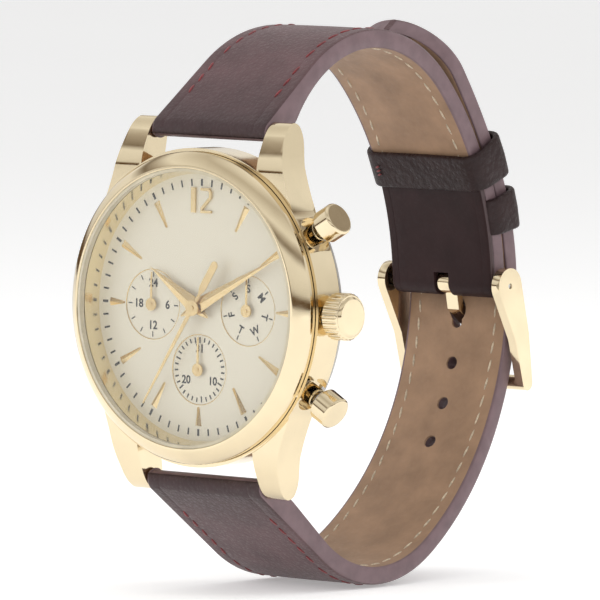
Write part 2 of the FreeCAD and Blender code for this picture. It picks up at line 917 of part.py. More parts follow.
def make_train():
    places = train_places()
    arbor = dim("arbor_radius")
    pivot = dim("pivot_radius")
    floor = dim("bridge_top")
    base = dim("plate_bottom")

    third_phase = meshed_phase(CENTRE, SECONDS_PINION, 0.0, places["third"], THIRD_TEETH)
    centre_phase = meshed_phase(places["third"], THIRD_PINION, 0.0, CENTRE, CENTRE_TEETH)
    step_phase = meshed_phase(CENTRE, SECONDS_TEETH, 0.0, places["step"], STEP_PINION)
    rotor_phase = meshed_phase(places["step"], STEP_TEETH, 0.0, places["rotor"], ROTOR_PINION)

    seconds = joined(
        [
            ring_disc(arbor, 0, -3.5, dim("seconds_hand_height") + dim("hand_thickness")),
            ring_disc(pivot, 0, floor - 0.25, -3.5),
            gear(SECONDS_PINION, dim("train_module"), -3.3, -2.95),
            gear(SECONDS_TEETH, dim("step_module"), -3.42, -3.3),
        ]
    )
    keep("seconds_wheel", feature("SecondsWheel", seconds, head_place()))

    third = joined(
        [
            ring_disc(pivot, 0, floor - 0.25, base + 0.25),
            gear(THIRD_PINION, dim("centre_module"), -3.02, -2.55),
            gear(THIRD_TEETH, dim("train_module"), -3.14, -3.02, third_phase),
        ]
    )
    keep("third_wheel", feature("ThirdWheel", third, head_place(*places["third"])))

    cannon_top = dim("minute_hand_height") + 2.2 * dim("hand_thickness")
    centre = joined(
        [
            ring_disc(dim("cannon_radius"), 0, -2.85, cannon_top),
            gear(CANNON_TEETH, dim("motion_module"), -0.9, -0.71),
            gear(CENTRE_TEETH, dim("centre_module"), -2.8, -2.65, centre_phase),
        ]
    ).cut(ring_disc(dim("cannon_bore"), 0, -3, 3))
    keep("centre_wheel", feature("CentreWheel", centre, head_place()))

    step = joined(
        [
            ring_disc(pivot, 0, floor - 0.25, base + 0.25),
            gear(STEP_PINION, dim("step_module"), -3.46, -3.26, step_phase),
            gear(STEP_TEETH, dim("rotor_module"), -3.57, -3.46),
        ]
    )
    keep("intermediate_wheel", feature("StepWheel", step, head_place(*places["step"])))

    rotor = joined(
        [
            ring_disc(pivot, 0, floor - 0.25, base + 0.25),
            ring_disc(dim("rotor_radius"), 0, -3.2, -2.6),
            ring_disc(0.25, 0, -3.45, -3.2),
            gear(ROTOR_PINION, dim("rotor_module"), -3.58, -3.45, rotor_phase),
        ]
    )
    keep("rotor", feature("Rotor", rotor, head_place(*places["rotor"])))

    minute_work_phase = meshed_phase(CENTRE, CANNON_TEETH, 0.0, places["minute_work"], MINUTE_WORK_TEETH)
    hour_phase = meshed_phase(places["minute_work"], MINUTE_WORK_PINION, 0.0, CENTRE, HOUR_TEETH)
    minute_work = joined(
        [
            ring_disc(arbor, 0, dim("plate_top") - 0.3, -0.5),
            gear(MINUTE_WORK_TEETH, dim("motion_module"), -0.87, -0.73, minute_work_phase),
            gear(MINUTE_WORK_PINION, dim("hour_module"), -0.73, -0.5),
        ]
    )
    keep("minute_work_wheel", feature("MinuteWork", minute_work, head_place(*places["minute_work"])))

    hour_top = dim("hour_hand_height") + 2.2 * dim("hand_thickness")
    hour = joined(
        [
            ring_disc(dim("hour_pipe_radius"), 0, -0.67, hour_top),
            gear(HOUR_TEETH, dim("hour_module"), -0.67, -0.5, hour_phase),
        ]
    ).cut(ring_disc(dim("hour_pipe_bore"), 0, -3, 3))
    keep("hour_wheel", feature("HourWheel", hour, head_place()))

    idler_phase = meshed_phase(CENTRE, HOUR_TEETH, hour_phase, places["idler"], IDLER_TEETH)
    idler = joined(
        [
            ring_disc(arbor, 0, dim("plate_top") - 0.3, -0.5),
            gear(IDLER_TEETH, dim("hour_module"), -0.67, -0.5, idler_phase),
        ]
    )
    keep("twenty_four_hour_idler", feature("Idler", idler, head_place(*places["idler"])))
    day_phase = meshed_phase(
        places["idler"], IDLER_TEETH, idler_phase, places["day_wheel"], DAY_WHEEL_TEETH
    )
    day_wheel = counter_wheel(DAY_WHEEL_TEETH, dim("hour_module"), day_phase)
    keep("twenty_four_hour_wheel", feature("DayWheel", day_wheel, head_place(*places["day_wheel"])))


def counter_wheel(teeth, module, phase=0.0):
    """A wheel under the dial whose arbor carries a small hand."""
    top = dim("counter_hand_height") + 0.1
    return joined(
        [
            ring_disc(dim("arbor_radius"), 0, -1.06, top),
            gear(teeth, module, -0.67, -0.5, phase),
        ]
    )


def make_calendar():
    for name, teeth, module in (
        ("day", WEEK_STAR_TEETH, 0.26),
        ("date", DATE_STAR_TEETH, dim("date_star_module")),
    ):
        across, up = [(x, y) for key, x, y in counter_centres() if key == name][0]
        wheel = counter_wheel(teeth, module)
        keep(name + "_star_wheel", feature(name + "Star", wheel, head_place(across, up)))


# ------------------------------------------------------------------ movement

PILLARS = ((3.9, 1.7), (-4.7, 2.4), (3.0, -3.7))


def make_main_plate():
    places = train_places()
    plate = disc("plate_radius", "plate_bottom", "plate_top")
    tools = [
        disc("cannon_radius + pivot_clearance", "plate_bottom - 1", "plate_top + 1"),
        rod("stem_hole_radius", "stem_start - 0.4", "plate_radius + 1"),
        block(
            ("clutch_start - 0.5", "clutch_start + clutch_length + 0.2"),
            ("nil - 0.95", "nil + 0.95"),
            ("plate_bottom - 1", "plate_top + 1"),
        ),
        block(
            ("stem_groove_across - 0.6", "stem_groove_across + 1.9"),
            ("nil - 0.4", "nil + 0.5"),
            ("plate_bottom - 1", "stem_height"),
        ),
    ]
    for name in ("third", "step", "rotor"):
        x, y = places[name]
        place = f"nil + ( {x} )", f"nil + ( {y} )"
        tools.append(
            disc("pivot_radius + pivot_clearance", "plate_bottom - 1", "plate_bottom + 0.3", *place)
        )
    for name in ("minute_work", "idler"):
        x, y = places[name]
        place = f"nil + ( {x} )", f"nil + ( {y} )"
        tools.append(
            disc("arbor_radius + pivot_clearance", "plate_top - 0.35", "plate_top + 1", *place)
        )
    for _, x, y in counter_centres():
        place = f"nil + ( {x} )", f"nil + ( {y} )"
        tools.append(disc("arbor_radius + pivot_clearance", "nil - 1.09", "plate_top + 1", *place))
    lever_x, lever_y = lever_pivot()
    place = f"nil + ( {lever_x} )", f"nil + ( {lever_y} )"
    tools.append(disc("arbor_radius + pivot_clearance", "plate_bottom - 1", "plate_bottom + 0.6", *place))
    keep("main_plate", cut(plate, tools))


def lever_pivot():
    """The setting lever's pivot: its pin swings evenly either side of square to the stem."""
    arm = dim("lever_arm")
    swing = math.radians(dim("lever_swing"))
    return dim("stem_groove_across") + arm * math.sin(swing), arm * math.cos(swing)


def make_movement_parts():
    holder = cut(
        disc("holder_outer", "holder_bottom", "holder_top"),
        [
            disc("holder_inner", "holder_bottom - 1", "holder_top + 1"),
            rod("tube_outer + 0.05", "holder_inner - 1", "holder_outer + 1"),
            radial_rod("pusher_tube_outer", "holder_inner", "pusher_end", dim("pusher_angle"), "Bore"),
            radial_rod("pusher_tube_outer", "holder_inner", "pusher_end", -dim("pusher_angle"), "Bore"),
        ],
    )
    keep("movement_holder", holder)

    places = train_places()
    bridge = disc("bridge_radius", "bridge_bottom", "bridge_top", "bridge_across", "nil")
    pillars = [
        disc("pillar_radius", "bridge_top", "plate_bottom", f"nil + ( {x} )", f"nil + ( {y} )")
        for x, y in PILLARS
    ]
    holes = [
        disc(
            "pivot_radius + pivot_clearance",
            "bridge_top - 0.3",
            "bridge_top + 1",
            f"nil + ( {x} )",
            f"nil + ( {y} )",
        )
        for x, y in [CENTRE, places["third"], places["step"], places["rotor"]]
    ]
    keep("train_bridge", cut(fuse([bridge, *pillars]), holes))
    heads = [
        disc(
            "screw_head_radius",
            "bridge_bottom - screw_head_height",
            "bridge_bottom",
            f"nil + ( {x} )",
            f"nil + ( {y} )",
        )
        for x, y in PILLARS
    ]
    slots = [
        block(
            (f"nil + ( {x} ) - 0.9", f"nil + ( {x} ) + 0.9"),
            (f"nil + ( {y} ) - 0.1", f"nil + ( {y} ) + 0.1"),
            ("bridge_bottom - screw_head_height - 0.1", "bridge_bottom - screw_head_height + 0.15"),
        )
        for x, y in PILLARS
    ]
    keep("bridge_screws", cut(fuse(heads), slots))

    keep("battery", disc("battery_radius", "battery_bottom", "battery_top", "battery_across", "battery_up"))
    clamp = Part.makeBox(8.6, 1.8, 0.12, Vector(-4.3, -0.9, -4.62))
    foot = Part.makeBox(0.3, 1.8, 2.15, Vector(-4.3, -0.9, -4.5))
    clamp_place = head_place(dim("battery_across"), dim("battery_up")).multiply(
        Placement(Vector(), Rotation(Vector(0, 0, 1), 46))
    )
    keep("battery_clamp", feature("BatteryClamp", joined([clamp, foot]), clamp_place))

    core = Part.makeBox(9.4, 1.2, 0.6, Vector(-8.6, -7.6, -3.75))
    keep("coil_core", feature("CoilCore", core, head_place()))
    winding = Part.makeCylinder(0.98, 5.8, Vector(-6.8, -7.0, -3.45), Vector(1, 0, 0)).cut(core)
    keep("coil_winding", feature("CoilWinding", winding, head_place()))

    rotor_x, rotor_y = places["rotor"]
    stator = joined(
        [
            Part.makeBox(8.4, 1.6, 0.4, Vector(-8.1, -5.9, -3.15)),
            Part.makeBox(1.3, 2.6, 0.4, Vector(-8.5, -7.6, -3.15)),
            Part.makeBox(1.3, 2.6, 0.4, Vector(-0.6, -7.6, -3.15)),
            ring_disc(1.75, 0, -3.15, -2.75, rotor_x, rotor_y),
        ]
    ).cut(ring_disc(1.05, 0, -4, -2, rotor_x, rotor_y))
    keep("stator", feature("Stator", stator, head_place()))

    board_top = dim("plate_bottom")
    board_bottom = board_top - dim("board_thickness")
    board = Part.makeBox(5.6, 13.0, dim("board_thickness"), Vector(-12.6, -4.6, board_bottom))
    board = board.common(ring_disc(14.2, 0, -4, -2))
    keep("circuit_board", feature("Board", board, head_place()))
    quartz = Part.makeCylinder(0.75, 5.6, Vector(-9.0, 1.6, board_bottom - 0.75), Vector(0, 1, 0))
    keep("quartz_crystal", feature("Quartz", quartz, head_place()))
    chip = Part.makeBox(2.4, 2.4, 0.7, Vector(-11.6, -3.0, board_bottom - 0.7))
    keep("timing_chip", feature("Chip", chip, head_place()))


# ------------------------------------------------------------------ crown, stem and setting lever


def make_crown():
    axis_place = Placement(
        Vector(0, -dim("dial_depth") - dim("stem_height"), 0), Rotation(Vector(0, 1, 0), 90)
    )
    body = turned(
        "crown_body",
        [
            ("nil", "crown_bore_depth"),
            ("crown_bore", "crown_bore_depth"),
            ("crown_bore", "crown_start"),
            ("crown_radius - 0.35", "crown_start"),
            ("crown_radius", "crown_start + 0.35"),
            ("crown_radius", "crown_end - 0.35"),
            ("crown_radius - 0.25", "crown_end"),
            ("crown_disc_radius + 0.12", "crown_end"),
            ("crown_disc_radius", "crown_disc_end - 0.15"),
            ("crown_disc_radius - 0.2", "crown_disc_end"),
            ("nil", "crown_disc_end"),
        ],
        axis_place,
    )
    count = int(dim("crown_flutes"))
    flutes = []
    for i in range(count):
        turn = 2 * math.pi * i / count
        centre = Vector(
            dim("crown_radius") * math.cos(turn), dim("crown_radius") * math.sin(turn), dim("crown_start") - 1
        )
        flutes.append(Part.makeCylinder(dim("crown_flute_radius"), 5, centre))
    flute_group = feature("Flutes", Part.makeCompound(flutes), axis_place)
    socket = rod("stem_radius", "crown_bore_depth - 1", "stem_end")
    keep("crown", cut(body, [flute_group, socket]))

    round_part = rod("stem_radius", "clutch_start + clutch_length + 0.3", "stem_end")
    side = "stem_square * 0.5"
    square = block(
        ("stem_start", "clutch_start + clutch_length + 0.3"),
        (f"nil - {side}", f"nil + {side}"),
        (f"stem_height - {side}", f"stem_height + {side}"),
    )
    groove = cut(
        rod(
            "stem_radius + 1",
            "stem_groove_across - stem_groove_width * 0.5",
            "stem_groove_across + stem_groove_width * 0.5",
        ),
        [rod("stem_groove_radius", "stem_groove_across - 1", "stem_groove_across + 1")],
    )
    keep("winding_stem", cut(fuse([round_part, square]), [groove]))

    keep(
        "crown_tube",
        cut(
            rod("tube_outer", "tube_start", "tube_end"),
            [rod("tube_inner", "tube_start - 1", "tube_end + 1")],
        ),
    )

    clutch = gear(14, 2 * dim("clutch_radius") / 15.6, 0, dim("clutch_length"))
    hole = dim("stem_square") + 0.06
    clutch = clutch.cut(Part.makeBox(hole, hole, 5, Vector(-hole / 2, -hole / 2, -1)))
    clutch_place = axis_place.multiply(Placement(Vector(0, 0, dim("clutch_start")), Rotation()))
    keep("clutch_wheel", feature("Clutch", clutch, clutch_place))

    pivot_x, pivot_y = lever_pivot()
    below = dim("plate_bottom") - 0.05
    pin_at = (dim("stem_groove_across") - pivot_x, -pivot_y)
    lever = joined(
        [
            bar_shape((0, 0), pin_at, 0.8, 0.25),
            ring_disc(0.6, 0, 0, 0.25),
            ring_disc(0.4, 0, 0, 0.25, *pin_at),
        ]
    )
    lever.translate(Vector(0, 0, below - 0.25))
    pins = [
        ring_disc(dim("lever_pin_radius"), 0, below - 0.25, dim("stem_height") - 0.3, *pin_at),
        ring_disc(dim("arbor_radius"), 0, below - 0.25, below + 0.55),
    ]
    keep("setting_lever", feature("SettingLever", joined([lever, *pins]), head_place(pivot_x, pivot_y)))


# ------------------------------------------------------------------ pushers


def spring_shape():
    """A closed round-wire coil between the tube's end and the cap's floor."""
    low = dim("pusher_tube_end")
    high = dim("pusher_cap_floor")
    wire = dim("pusher_spring_wire")
    radius = dim("pusher_spring_radius")
    pitch = (high - low - 2 * wire - 0.04) / dim("pusher_spring_turns")
    helix = Part.makeHelix(pitch, high - low - 2 * wire - 0.04, radius)
    helix.translate(Vector(0, 0, low + wire + 0.02))
    section = Part.Wire(Part.makeCircle(wire, Vector(radius, 0, low + wire + 0.02), Vector(0, 1, 0)))
    return Part.Wire(helix).makePipeShell([section], True, True)


def make_pushers():
    tubes = []
    for name, side in PUSHER_SIDES.items():
        angle = side * dim("pusher_angle")
        place = pusher_place(angle)
        pusher = turned(
            name + "_pusher_body",
            [
                ("nil", "pusher_stem_start"),
                ("pusher_stem_radius", "pusher_stem_start"),
                ("pusher_stem_radius", "pusher_cap_floor"),
                ("pusher_cap_bore", "pusher_cap_floor"),
                ("pusher_cap_bore", "pusher_cap_start"),
                ("pusher_cap_radius", "pusher_cap_start"),
                ("pusher_cap_radius", "pusher_end - pusher_cap_bevel"),
                ("pusher_cap_radius - pusher_cap_bevel", "pusher_end"),
                ("nil", "pusher_end"),
            ],
            place,
        )
        keep(name + "_pusher", pusher)
        keep(name + "_pusher_spring", feature(name + "Spring", spring_shape(), place))
        tubes.append(
            cut(
                radial_rod("pusher_tube_outer", "pusher_tube_start", "pusher_tube_end", angle, "Tube"),
                [radial_rod("pusher_tube_inner", "pusher_stem_start", "pusher_end", angle, "Bore")],
            )
        )
    keep("pusher_tubes", fuse(tubes))


# ------------------------------------------------------------------ strap


class Course:
    """A side-view line of straight runs and tangent arcs, in (depth, up)."""

    def __init__(self, start, heading):
        self.start = start
        self.heading = math.radians(heading)
        self.legs = []

    def run(self, length):
        self.legs.append(("run", length, 0.0))
        return self

    def bend(self, radius, turn):
        """Turn is positive to the left, in degrees."""
        self.legs.append(("bend", radius, math.radians(turn)))
        return self

    def edges(self, aside=0.0):
        """The line's edges moved aside to its left, with the point and heading at its end."""
        x, z = self.start
        heading = self.heading
        made = []
        for kind, size, turn in self.legs:
            first = moved(x, z, heading, aside)
            if kind == "run":
                x += size * math.cos(heading)
                z += size * math.sin(heading)
                made.append(Part.LineSegment(first, moved(x, z, heading, aside)).toShape())
                continue
            hand = math.copysign(1.0, turn)
            cx = x - hand * size * math.sin(heading)
            cz = z + hand * size * math.cos(heading)
            half = moved(*around(cx, cz, x, z, turn / 2), heading + turn / 2, aside)
            x, z = around(cx, cz, x, z, turn)
            heading += turn
            made.append(Part.Arc(first, half, moved(x, z, heading, aside)).toShape())
        return made, (x, z), heading


def around(cx, cz, x, z, turn):
    """A point turned about a centre."""
    dx, dz = x - cx, z - cz
    return (
        cx + dx * math.cos(turn) - dz * math.sin(turn),
        cz + dx * math.sin(turn) + dz * math.cos(turn),
    )


def moved(x, z, heading, aside):
    """A side-view point set aside to the left of its heading, in the model's frame."""
    return Vector(
        0,
        x - aside * math.sin(heading) - dim("dial_depth"),
        z + aside * math.cos(heading),
    )


def band(course, near, far, half_width=12.0):
    """The strip between two offsets of a course, as wide as a cutting blank."""
    inner, _, _ = course.edges(near)
    outer, _, _ = course.edges(far)
    first = Part.LineSegment(start_of(inner), start_of(outer)).toShape()
    last = Part.LineSegment(end_of(inner), end_of(outer)).toShape()
    wire = Part.Wire(Part.__sortEdges__([*inner, last, *outer, first]))
    face = Part.Face(wire)
    face.translate(Vector(-half_width, 0, 0))
    return face.extrude(Vector(2 * half_width, 0, 0))


def start_of(edges):
    return edges[0].valueAt(edges[0].FirstParameter)


def end_of(edges):
    return edges[-1].valueAt(edges[-1].LastParameter)


def plan_wedge(stations, low, high):
    """A blank whose half width follows (depth, half width) stations, between two heights up."""
    back = dim("dial_depth")
    right = [Vector(half, depth - back, low) for depth, half in stations]
    left = [Vector(-half, depth - back, low) for depth, half in reversed(stations)]
    return face_of([*right, *left]).extrude(Vector(0, 0, high - low))


def long_course_base():
    return (
        Course((dim("long_start_depth"), dim("long_start_up")), dim("long_heading"))
        .run(dim("long_run"))
        .bend(dim("long_base_radius"), dim("long_base_turn"))
    )


def long_course():
    """The whole long strap: its base bend, its side, then the tail laid over the short strap."""
    return (
        long_course_base()
        .bend(dim("long_side_radius"), dim("long_side_turn"))
        .bend(dim("tail_ease_radius"), dim("tail_ease_turn"))
        .bend(dim("tail_crest_radius"), dim("tail_crest_turn"))
    )


def x_rod(radius, reach, depth, up):
    """A round solid across the strap, as a shape."""
    start = Vector(-reach, depth - dim("dial_depth"), up)
    return Part.makeCylinder(radius, 2 * reach, start, Vector(1, 0, 0))


def root_wedge(side, first_leg_far, arc_centre, arc_radius):
    """The padded root: the fold round the spring bar run out tangent to the strap's outer bend."""
    bar = (dim("strap_bar_depth"), side * dim("strap_bar_up"))
    fold = dim("strap_fold_radius")
    start = first_leg_far
    dx, dz = arc_centre[0] - bar[0], side * (arc_centre[1] - bar[1])
    slope = math.atan2(dz, dx) + math.asin((arc_radius - fold) / math.hypot(dx, dz))
    normal = (-math.sin(slope), math.cos(slope))
    near = (bar[0] + fold * normal[0], bar[1] + side * fold * normal[1])
    far = (arc_centre[0] + arc_radius * normal[0], arc_centre[1] + side * arc_radius * normal[1])
    gap_x, gap_z = start[0] - bar[0], side * (start[1] - bar[1])
    reach = math.hypot(gap_x, gap_z)
    under = math.atan2(gap_z, gap_x) - math.acos(fold / reach)
    below = (bar[0] + fold * math.cos(under), bar[1] + side * fold * math.sin(under))
    return [below, near, far], slope


def make_short_strap():
    thick = dim("strap_thickness")
    lining = dim("lining_thickness")
    flap = dim("flap_thickness")
    start = (dim("short_start_depth"), dim("short_start_up"))
    radius = dim("short_crest_radius")
    heading = math.radians(dim("short_heading"))
    centre = (start[0] + radius * math.sin(heading), start[1] - radius * math.cos(heading))
    points, slope = root_wedge(1, start, centre, radius + thick)
    inside = (centre[0] - (radius + 1) * math.sin(slope), centre[1] + (radius + 1) * math.cos(slope))
    root = side_outline([*points, inside, start], -12, 12)
    bar = dim("strap_bar_depth"), dim("strap_bar_up")
    fold = x_rod(dim("strap_fold_radius"), 12, *bar)

    flap_turn = math.degrees(dim("flap_length") / dim("short_side_radius"))
    upper = (
        Course(start, dim("short_heading"))
        .bend(radius, -dim("short_crest_turn"))
        .bend(dim("short_side_radius"), flap_turn - dim("short_side_turn"))
    )
    _, flap_start, flap_heading = upper.edges()
    lower = Course(flap_start, math.degrees(flap_heading)).bend(dim("short_side_radius"), -flap_turn)
    pivot = dim("buckle_depth_centre"), dim("buckle_up")
    bar_hole = x_rod(dim("buckle_bar_radius") + 0.08, 12, *pivot)
    fold_end = x_rod(dim("buckle_fold_radius"), 12, *pivot)
    slot_half = dim("tongue_slot")
    slot_corner = Vector(-slot_half, pivot[0] - dim("dial_depth") - 4, pivot[1] - 2.4)
    fold_slot = Part.makeBox(2 * slot_half, 8, 5, slot_corner)
    blank = plan_wedge(
        [
            (-2, dim("strap_half_width")),
            (dim("crest_depth"), dim("strap_crest_half_width")),
            (60, dim("strap_buckle_half_width")),
        ],
        -6,
        60,
    )

    lining_band = band(upper, 0, lining).common(blank)
    outer = joined([band(upper, lining, thick), band(lower, flap, dim("stack_thickness"))])
    leather = joined([outer, root, fold]).cut(x_rod(dim("strap_bar_radius") + 0.08, 12, *bar))
    leather = leather.common(blank).cut(fold_end).cut(lining_band).cut(fold_slot)
    flap_solid = joined([band(lower, 0, flap), fold_end]).cut(bar_hole).common(blank)
    flap_solid = flap_solid.cut(fold_slot)
    keep("short_strap_leather", feature("ShortLeather", largest(leather)))
    keep("short_strap_lining", feature("ShortLining", largest(lining_band)))
    keep("strap_fold_flap", feature("FoldFlap", largest(flap_solid)))


def largest(shape):
    """The biggest solid of a shape, which drops slivers left by a cut."""
    return max(shape.Solids, key=lambda solid: solid.Volume)


HOLE_STEPS = (-3, -2, -1, 1, 2, 3)


def strap_holes():
    """The adjusting holes, square to the strap, either side of the one that is in use."""
    holes = []
    radius = dim("long_side_radius")
    _, corner, heading = long_course_base().edges()
    cx = corner[0] - radius * math.sin(heading)
    cz = corner[1] + radius * math.cos(heading)
    level = math.asin((dim("buckle_up") - cz) / radius)
    for i in HOLE_STEPS:
        angle = level - (dim("hole_first") + i * dim("hole_pitch")) / radius
        out = Vector(0, math.cos(angle), math.sin(angle))
        middle = Vector(0, cx + radius * math.cos(angle) - dim("dial_depth"), cz + radius * math.sin(angle))
        holes.append(Part.makeCylinder(dim("hole_radius"), 8, middle - out * 3, out))
    return holes


def tail_rounding(course):
    """What is trimmed off round the tail's tip: a block less a half ellipse."""
    length = dim("tail_tip_length")
    _, end, heading = course.edges()
    ellipse = Part.Ellipse(Vector(0, 0, -8), dim("tail_half_width") + 0.1, length)
    kept = Part.Face(Part.Wire(ellipse.toShape())).extrude(Vector(0, 0, 16))
    block = Part.makeBox(24, length + 3, 16, Vector(-12, 0, -8)).cut(kept)
    start_y = end[0] - dim("dial_depth") - length * math.cos(heading)
    start_z = end[1] - length * math.sin(heading)
    turn = Rotation(Vector(1, 0, 0), math.degrees(heading))
    block.Placement = Placement(Vector(0, start_y, start_z), turn)
    return block


def make_long_strap():
    course = long_course()
    thick = dim("tail_thickness")
    lining = dim("lining_thickness")
    start = (dim("long_start_depth"), dim("long_start_up"))
    heading = math.radians(dim("long_heading"))
    run_end = (
        start[0] + dim("long_run") * math.cos(heading),
        start[1] + dim("long_run") * math.sin(heading),
    )
    radius = dim("long_base_radius")
    centre = (run_end[0] - radius * math.sin(heading), run_end[1] + radius * math.cos(heading))
    points, slope = root_wedge(-1, start, centre, radius + thick)
    inside = (centre[0] - (radius + 1) * math.sin(slope), centre[1] - (radius + 1) * math.cos(slope))
    run_corner = (run_end[0] + 1.0 * math.sin(heading), run_end[1] - 1.0 * math.cos(heading))
    root = side_outline([*points, inside, run_corner, start], -12, 12)
    bar = dim("strap_bar_depth"), -dim("strap_bar_up")
    fold = x_rod(dim("strap_fold_radius"), 12, *bar)
    lower_blank = plan_wedge(
        [
            (-2, dim("strap_half_width")),
            (dim("crest_depth"), dim("strap_base_half_width")),
            (dim("buckle_depth"), dim("strap_buckle_half_width")),
            (62, dim("tail_half_width")),
        ],
        -60,
        0,
    )
    tail_blank = plan_wedge([(20, dim("tail_half_width")), (62, dim("tail_half_width"))], -0.5, 60)
    blank = joined([lower_blank, tail_blank])
    lining_band = band(course, 0, -lining).common(blank)
    leather = joined([band(course, -lining, -thick), root, fold])
    leather = leather.cut(x_rod(dim("strap_bar_radius") + 0.08, 12, *bar))
    leather = leather.common(blank).cut(lining_band)
    for hole in [*strap_holes(), tongue_passage(), tail_rounding(course)]:
        leather = leather.cut(hole)
        lining_band = lining_band.cut(hole)
    keep("long_strap_leather", feature("LongLeather", largest(leather)))
    keep("long_strap_lining", feature("LongLining", largest(lining_band)))


def short_course_crest():
    return Course((dim("short_start_depth"), dim("short_start_up")), dim("short_heading")).bend(
        dim("short_crest_radius"), -dim("short_crest_turn")
    )


def make_keeper(name, closed):
    """A band round the stacked straps; an open one ends in the short strap's edges."""
    gap = dim("keeper_gap")
    wall = dim("keeper_thickness")
    radius = dim("short_side_radius")
    stack = dim(name + "_stack")
    half_width = dim("strap_buckle_half_width") + 0.15
    _, corner, heading = short_course_crest().edges()
    step = dim(name + "_width") / 2 / radius
    first = heading - math.radians(dim(name + "_turn")) + step
    centre = (corner[0] + radius * math.sin(heading), corner[1] - radius * math.cos(heading))
    start = (centre[0] - radius * math.sin(first), centre[1] + radius * math.cos(first))
    course = Course(start, math.degrees(first)).bend(radius, -math.degrees(2 * step))
    foot = -gap - wall if closed else dim("lining_thickness")
    outside = band(course, foot, stack + gap + wall, half_width + gap + wall)
    hollow = band(course, -gap, stack + gap, half_width + gap)
    keep(name, feature(name, outside.cut(hollow)))


def make_keepers():
    make_keeper("free_keeper", True)
    make_keeper("fixed_keeper", False)


# ------------------------------------------------------------------ buckle


def make_strap_bars():
    bars = []
    for side in ("strap_bar_up", "nil - strap_bar_up"):
        bars.append(
            fuse(
                [
                    rod(
                        "strap_bar_radius",
                        "nil - lug_gap_half + 0.1",
                        "lug_gap_half - 0.1",
                        "strap_bar_depth",
                        side,
                    ),
                    rod(
                        "strap_bar_pivot",
                        "nil - strap_bar_reach",
                        "strap_bar_reach",
                        "strap_bar_depth",
                        side,
                    ),
                ]
            )
        )
    keep("lug_spring_bars", fuse(bars))
    keep(
        "buckle_spring_bar",
        fuse(
            [
                rod(
                    "buckle_bar_radius",
                    "nil - frame_inner + 0.2",
                    "frame_inner - 0.2",
                    "buckle_depth_centre",
                    "buckle_up",
                ),
                rod(
                    "buckle_pivot_radius",
                    "nil - buckle_bar_reach",
                    "buckle_bar_reach",
                    "buckle_depth_centre",
                    "buckle_up",
                ),
            ]
        ),
    )


def tapered_link(first, first_radius, last, last_radius, low, high):
    """Two round ends joined by their common tangents, between two stations across."""
    dx, dz = last[0] - first[0], last[1] - first[1]
    span = math.hypot(dx, dz)
    along = math.atan2(dz, dx)
    lean = math.acos((first_radius - last_radius) / span)
    corners = []
    for centre, radius, angle in (
        (first, first_radius, along + lean),
        (last, last_radius, along + lean),
        (last, last_radius, along - lean),
        (first, first_radius, along - lean),
    ):
        corners.append((centre[0] + radius * math.cos(angle), centre[1] + radius * math.sin(angle)))
    web = side_outline(corners, low, high)
    ends = []
    for centre, radius in ((first, first_radius), (last, last_radius)):
        start = Vector(low, centre[0] - dim("dial_depth"), centre[1])
        ends.append(Part.makeCylinder(radius, high - low, start, Vector(1, 0, 0)))
    return joined([web, *ends])


def make_buckle_frame():
    pivot = dim("buckle_depth_centre"), dim("buckle_up")
    knee = dim("frame_knee_depth"), dim("frame_knee_up")
    bar = dim("crossbar_depth"), dim("crossbar_up")
    arms = []
    for low, high in (
        (dim("frame_inner"), dim("frame_outer")),
        (-dim("frame_outer"), -dim("frame_inner")),
    ):
        arms.append(
            tapered_link(pivot, dim("frame_eye_radius"), knee, dim("frame_knee_radius"), low, high)
        )
        arms.append(
            tapered_link(knee, dim("frame_knee_radius"), bar, dim("crossbar_radius"), low, high)
        )
    frame = joined([*arms, x_rod(dim("crossbar_radius"), dim("frame_outer"), *bar)])
    frame = frame.cut(x_rod(dim("buckle_pivot_radius") + 0.03, 12, *pivot))
    keep("buckle_frame", feature("BuckleFrame", frame))


def tongue_outline(grow=0.0):
    """The tongue's side view: from the bar, out through the strap, down to the crossbar."""
    half = 0.55 + grow
    line = [
        (dim("buckle_depth_centre") + 0.9, dim("buckle_up") - 1.0),
        (53.35, -2.0),
        (57.3, -5.0),
        (57.72, -12.7),
    ]
    sides = {1: [], -1: []}
    for i, (x, z) in enumerate(line):
        before = line[max(i - 1, 0)]
        after = line[min(i + 1, len(line) - 1)]
        heading = math.atan2(after[1] - before[1], after[0] - before[0])
        bend = 1.0
        if 0 < i < len(line) - 1:
            into = math.atan2(z - before[1], x - before[0])
            bend = 1.0 / math.cos(heading - into)
        for hand in sides:
            sides[hand].append(
                (x - hand * half * bend * math.sin(heading), z + hand * half * bend * math.cos(heading))
            )
    return [*sides[1], *reversed(sides[-1])]


def tongue_passage():
    """The room that the tongue needs where it goes through the strap."""
    wide = dim("tongue_width") / 2 + 0.12
    return side_outline(tongue_outline(0.45), -wide, wide)


def make_tongue():
    pivot = dim("buckle_depth_centre"), dim("buckle_up")
    half = dim("tongue_width") / 2
    eye = x_rod(dim("tongue_eye_radius"), half, *pivot)
    shank = side_outline(tongue_outline(), -half, half)
    tongue = joined([eye, shank]).cut(x_rod(dim("tongue_bore"), 12, *pivot))
    keep("buckle_tongue", feature("Tongue", tongue))


# ------------------------------------------------------------------ build, check and write


def build():
    make_mid_case()
    make_bezel_and_glass()
    make_case_back()
    make_dial()
    make_markers()
    make_numeral()
    make_main_hands()
    make_counter_hands()
    make_train()
    make_calendar()
    make_main_plate()
    make_movement_parts()
    make_crown()
    make_pushers()
    make_short_strap()
    make_long_strap()
    make_keepers()
    make_strap_bars()
    make_buckle_frame()
    make_tongue()
    doc.recompute()


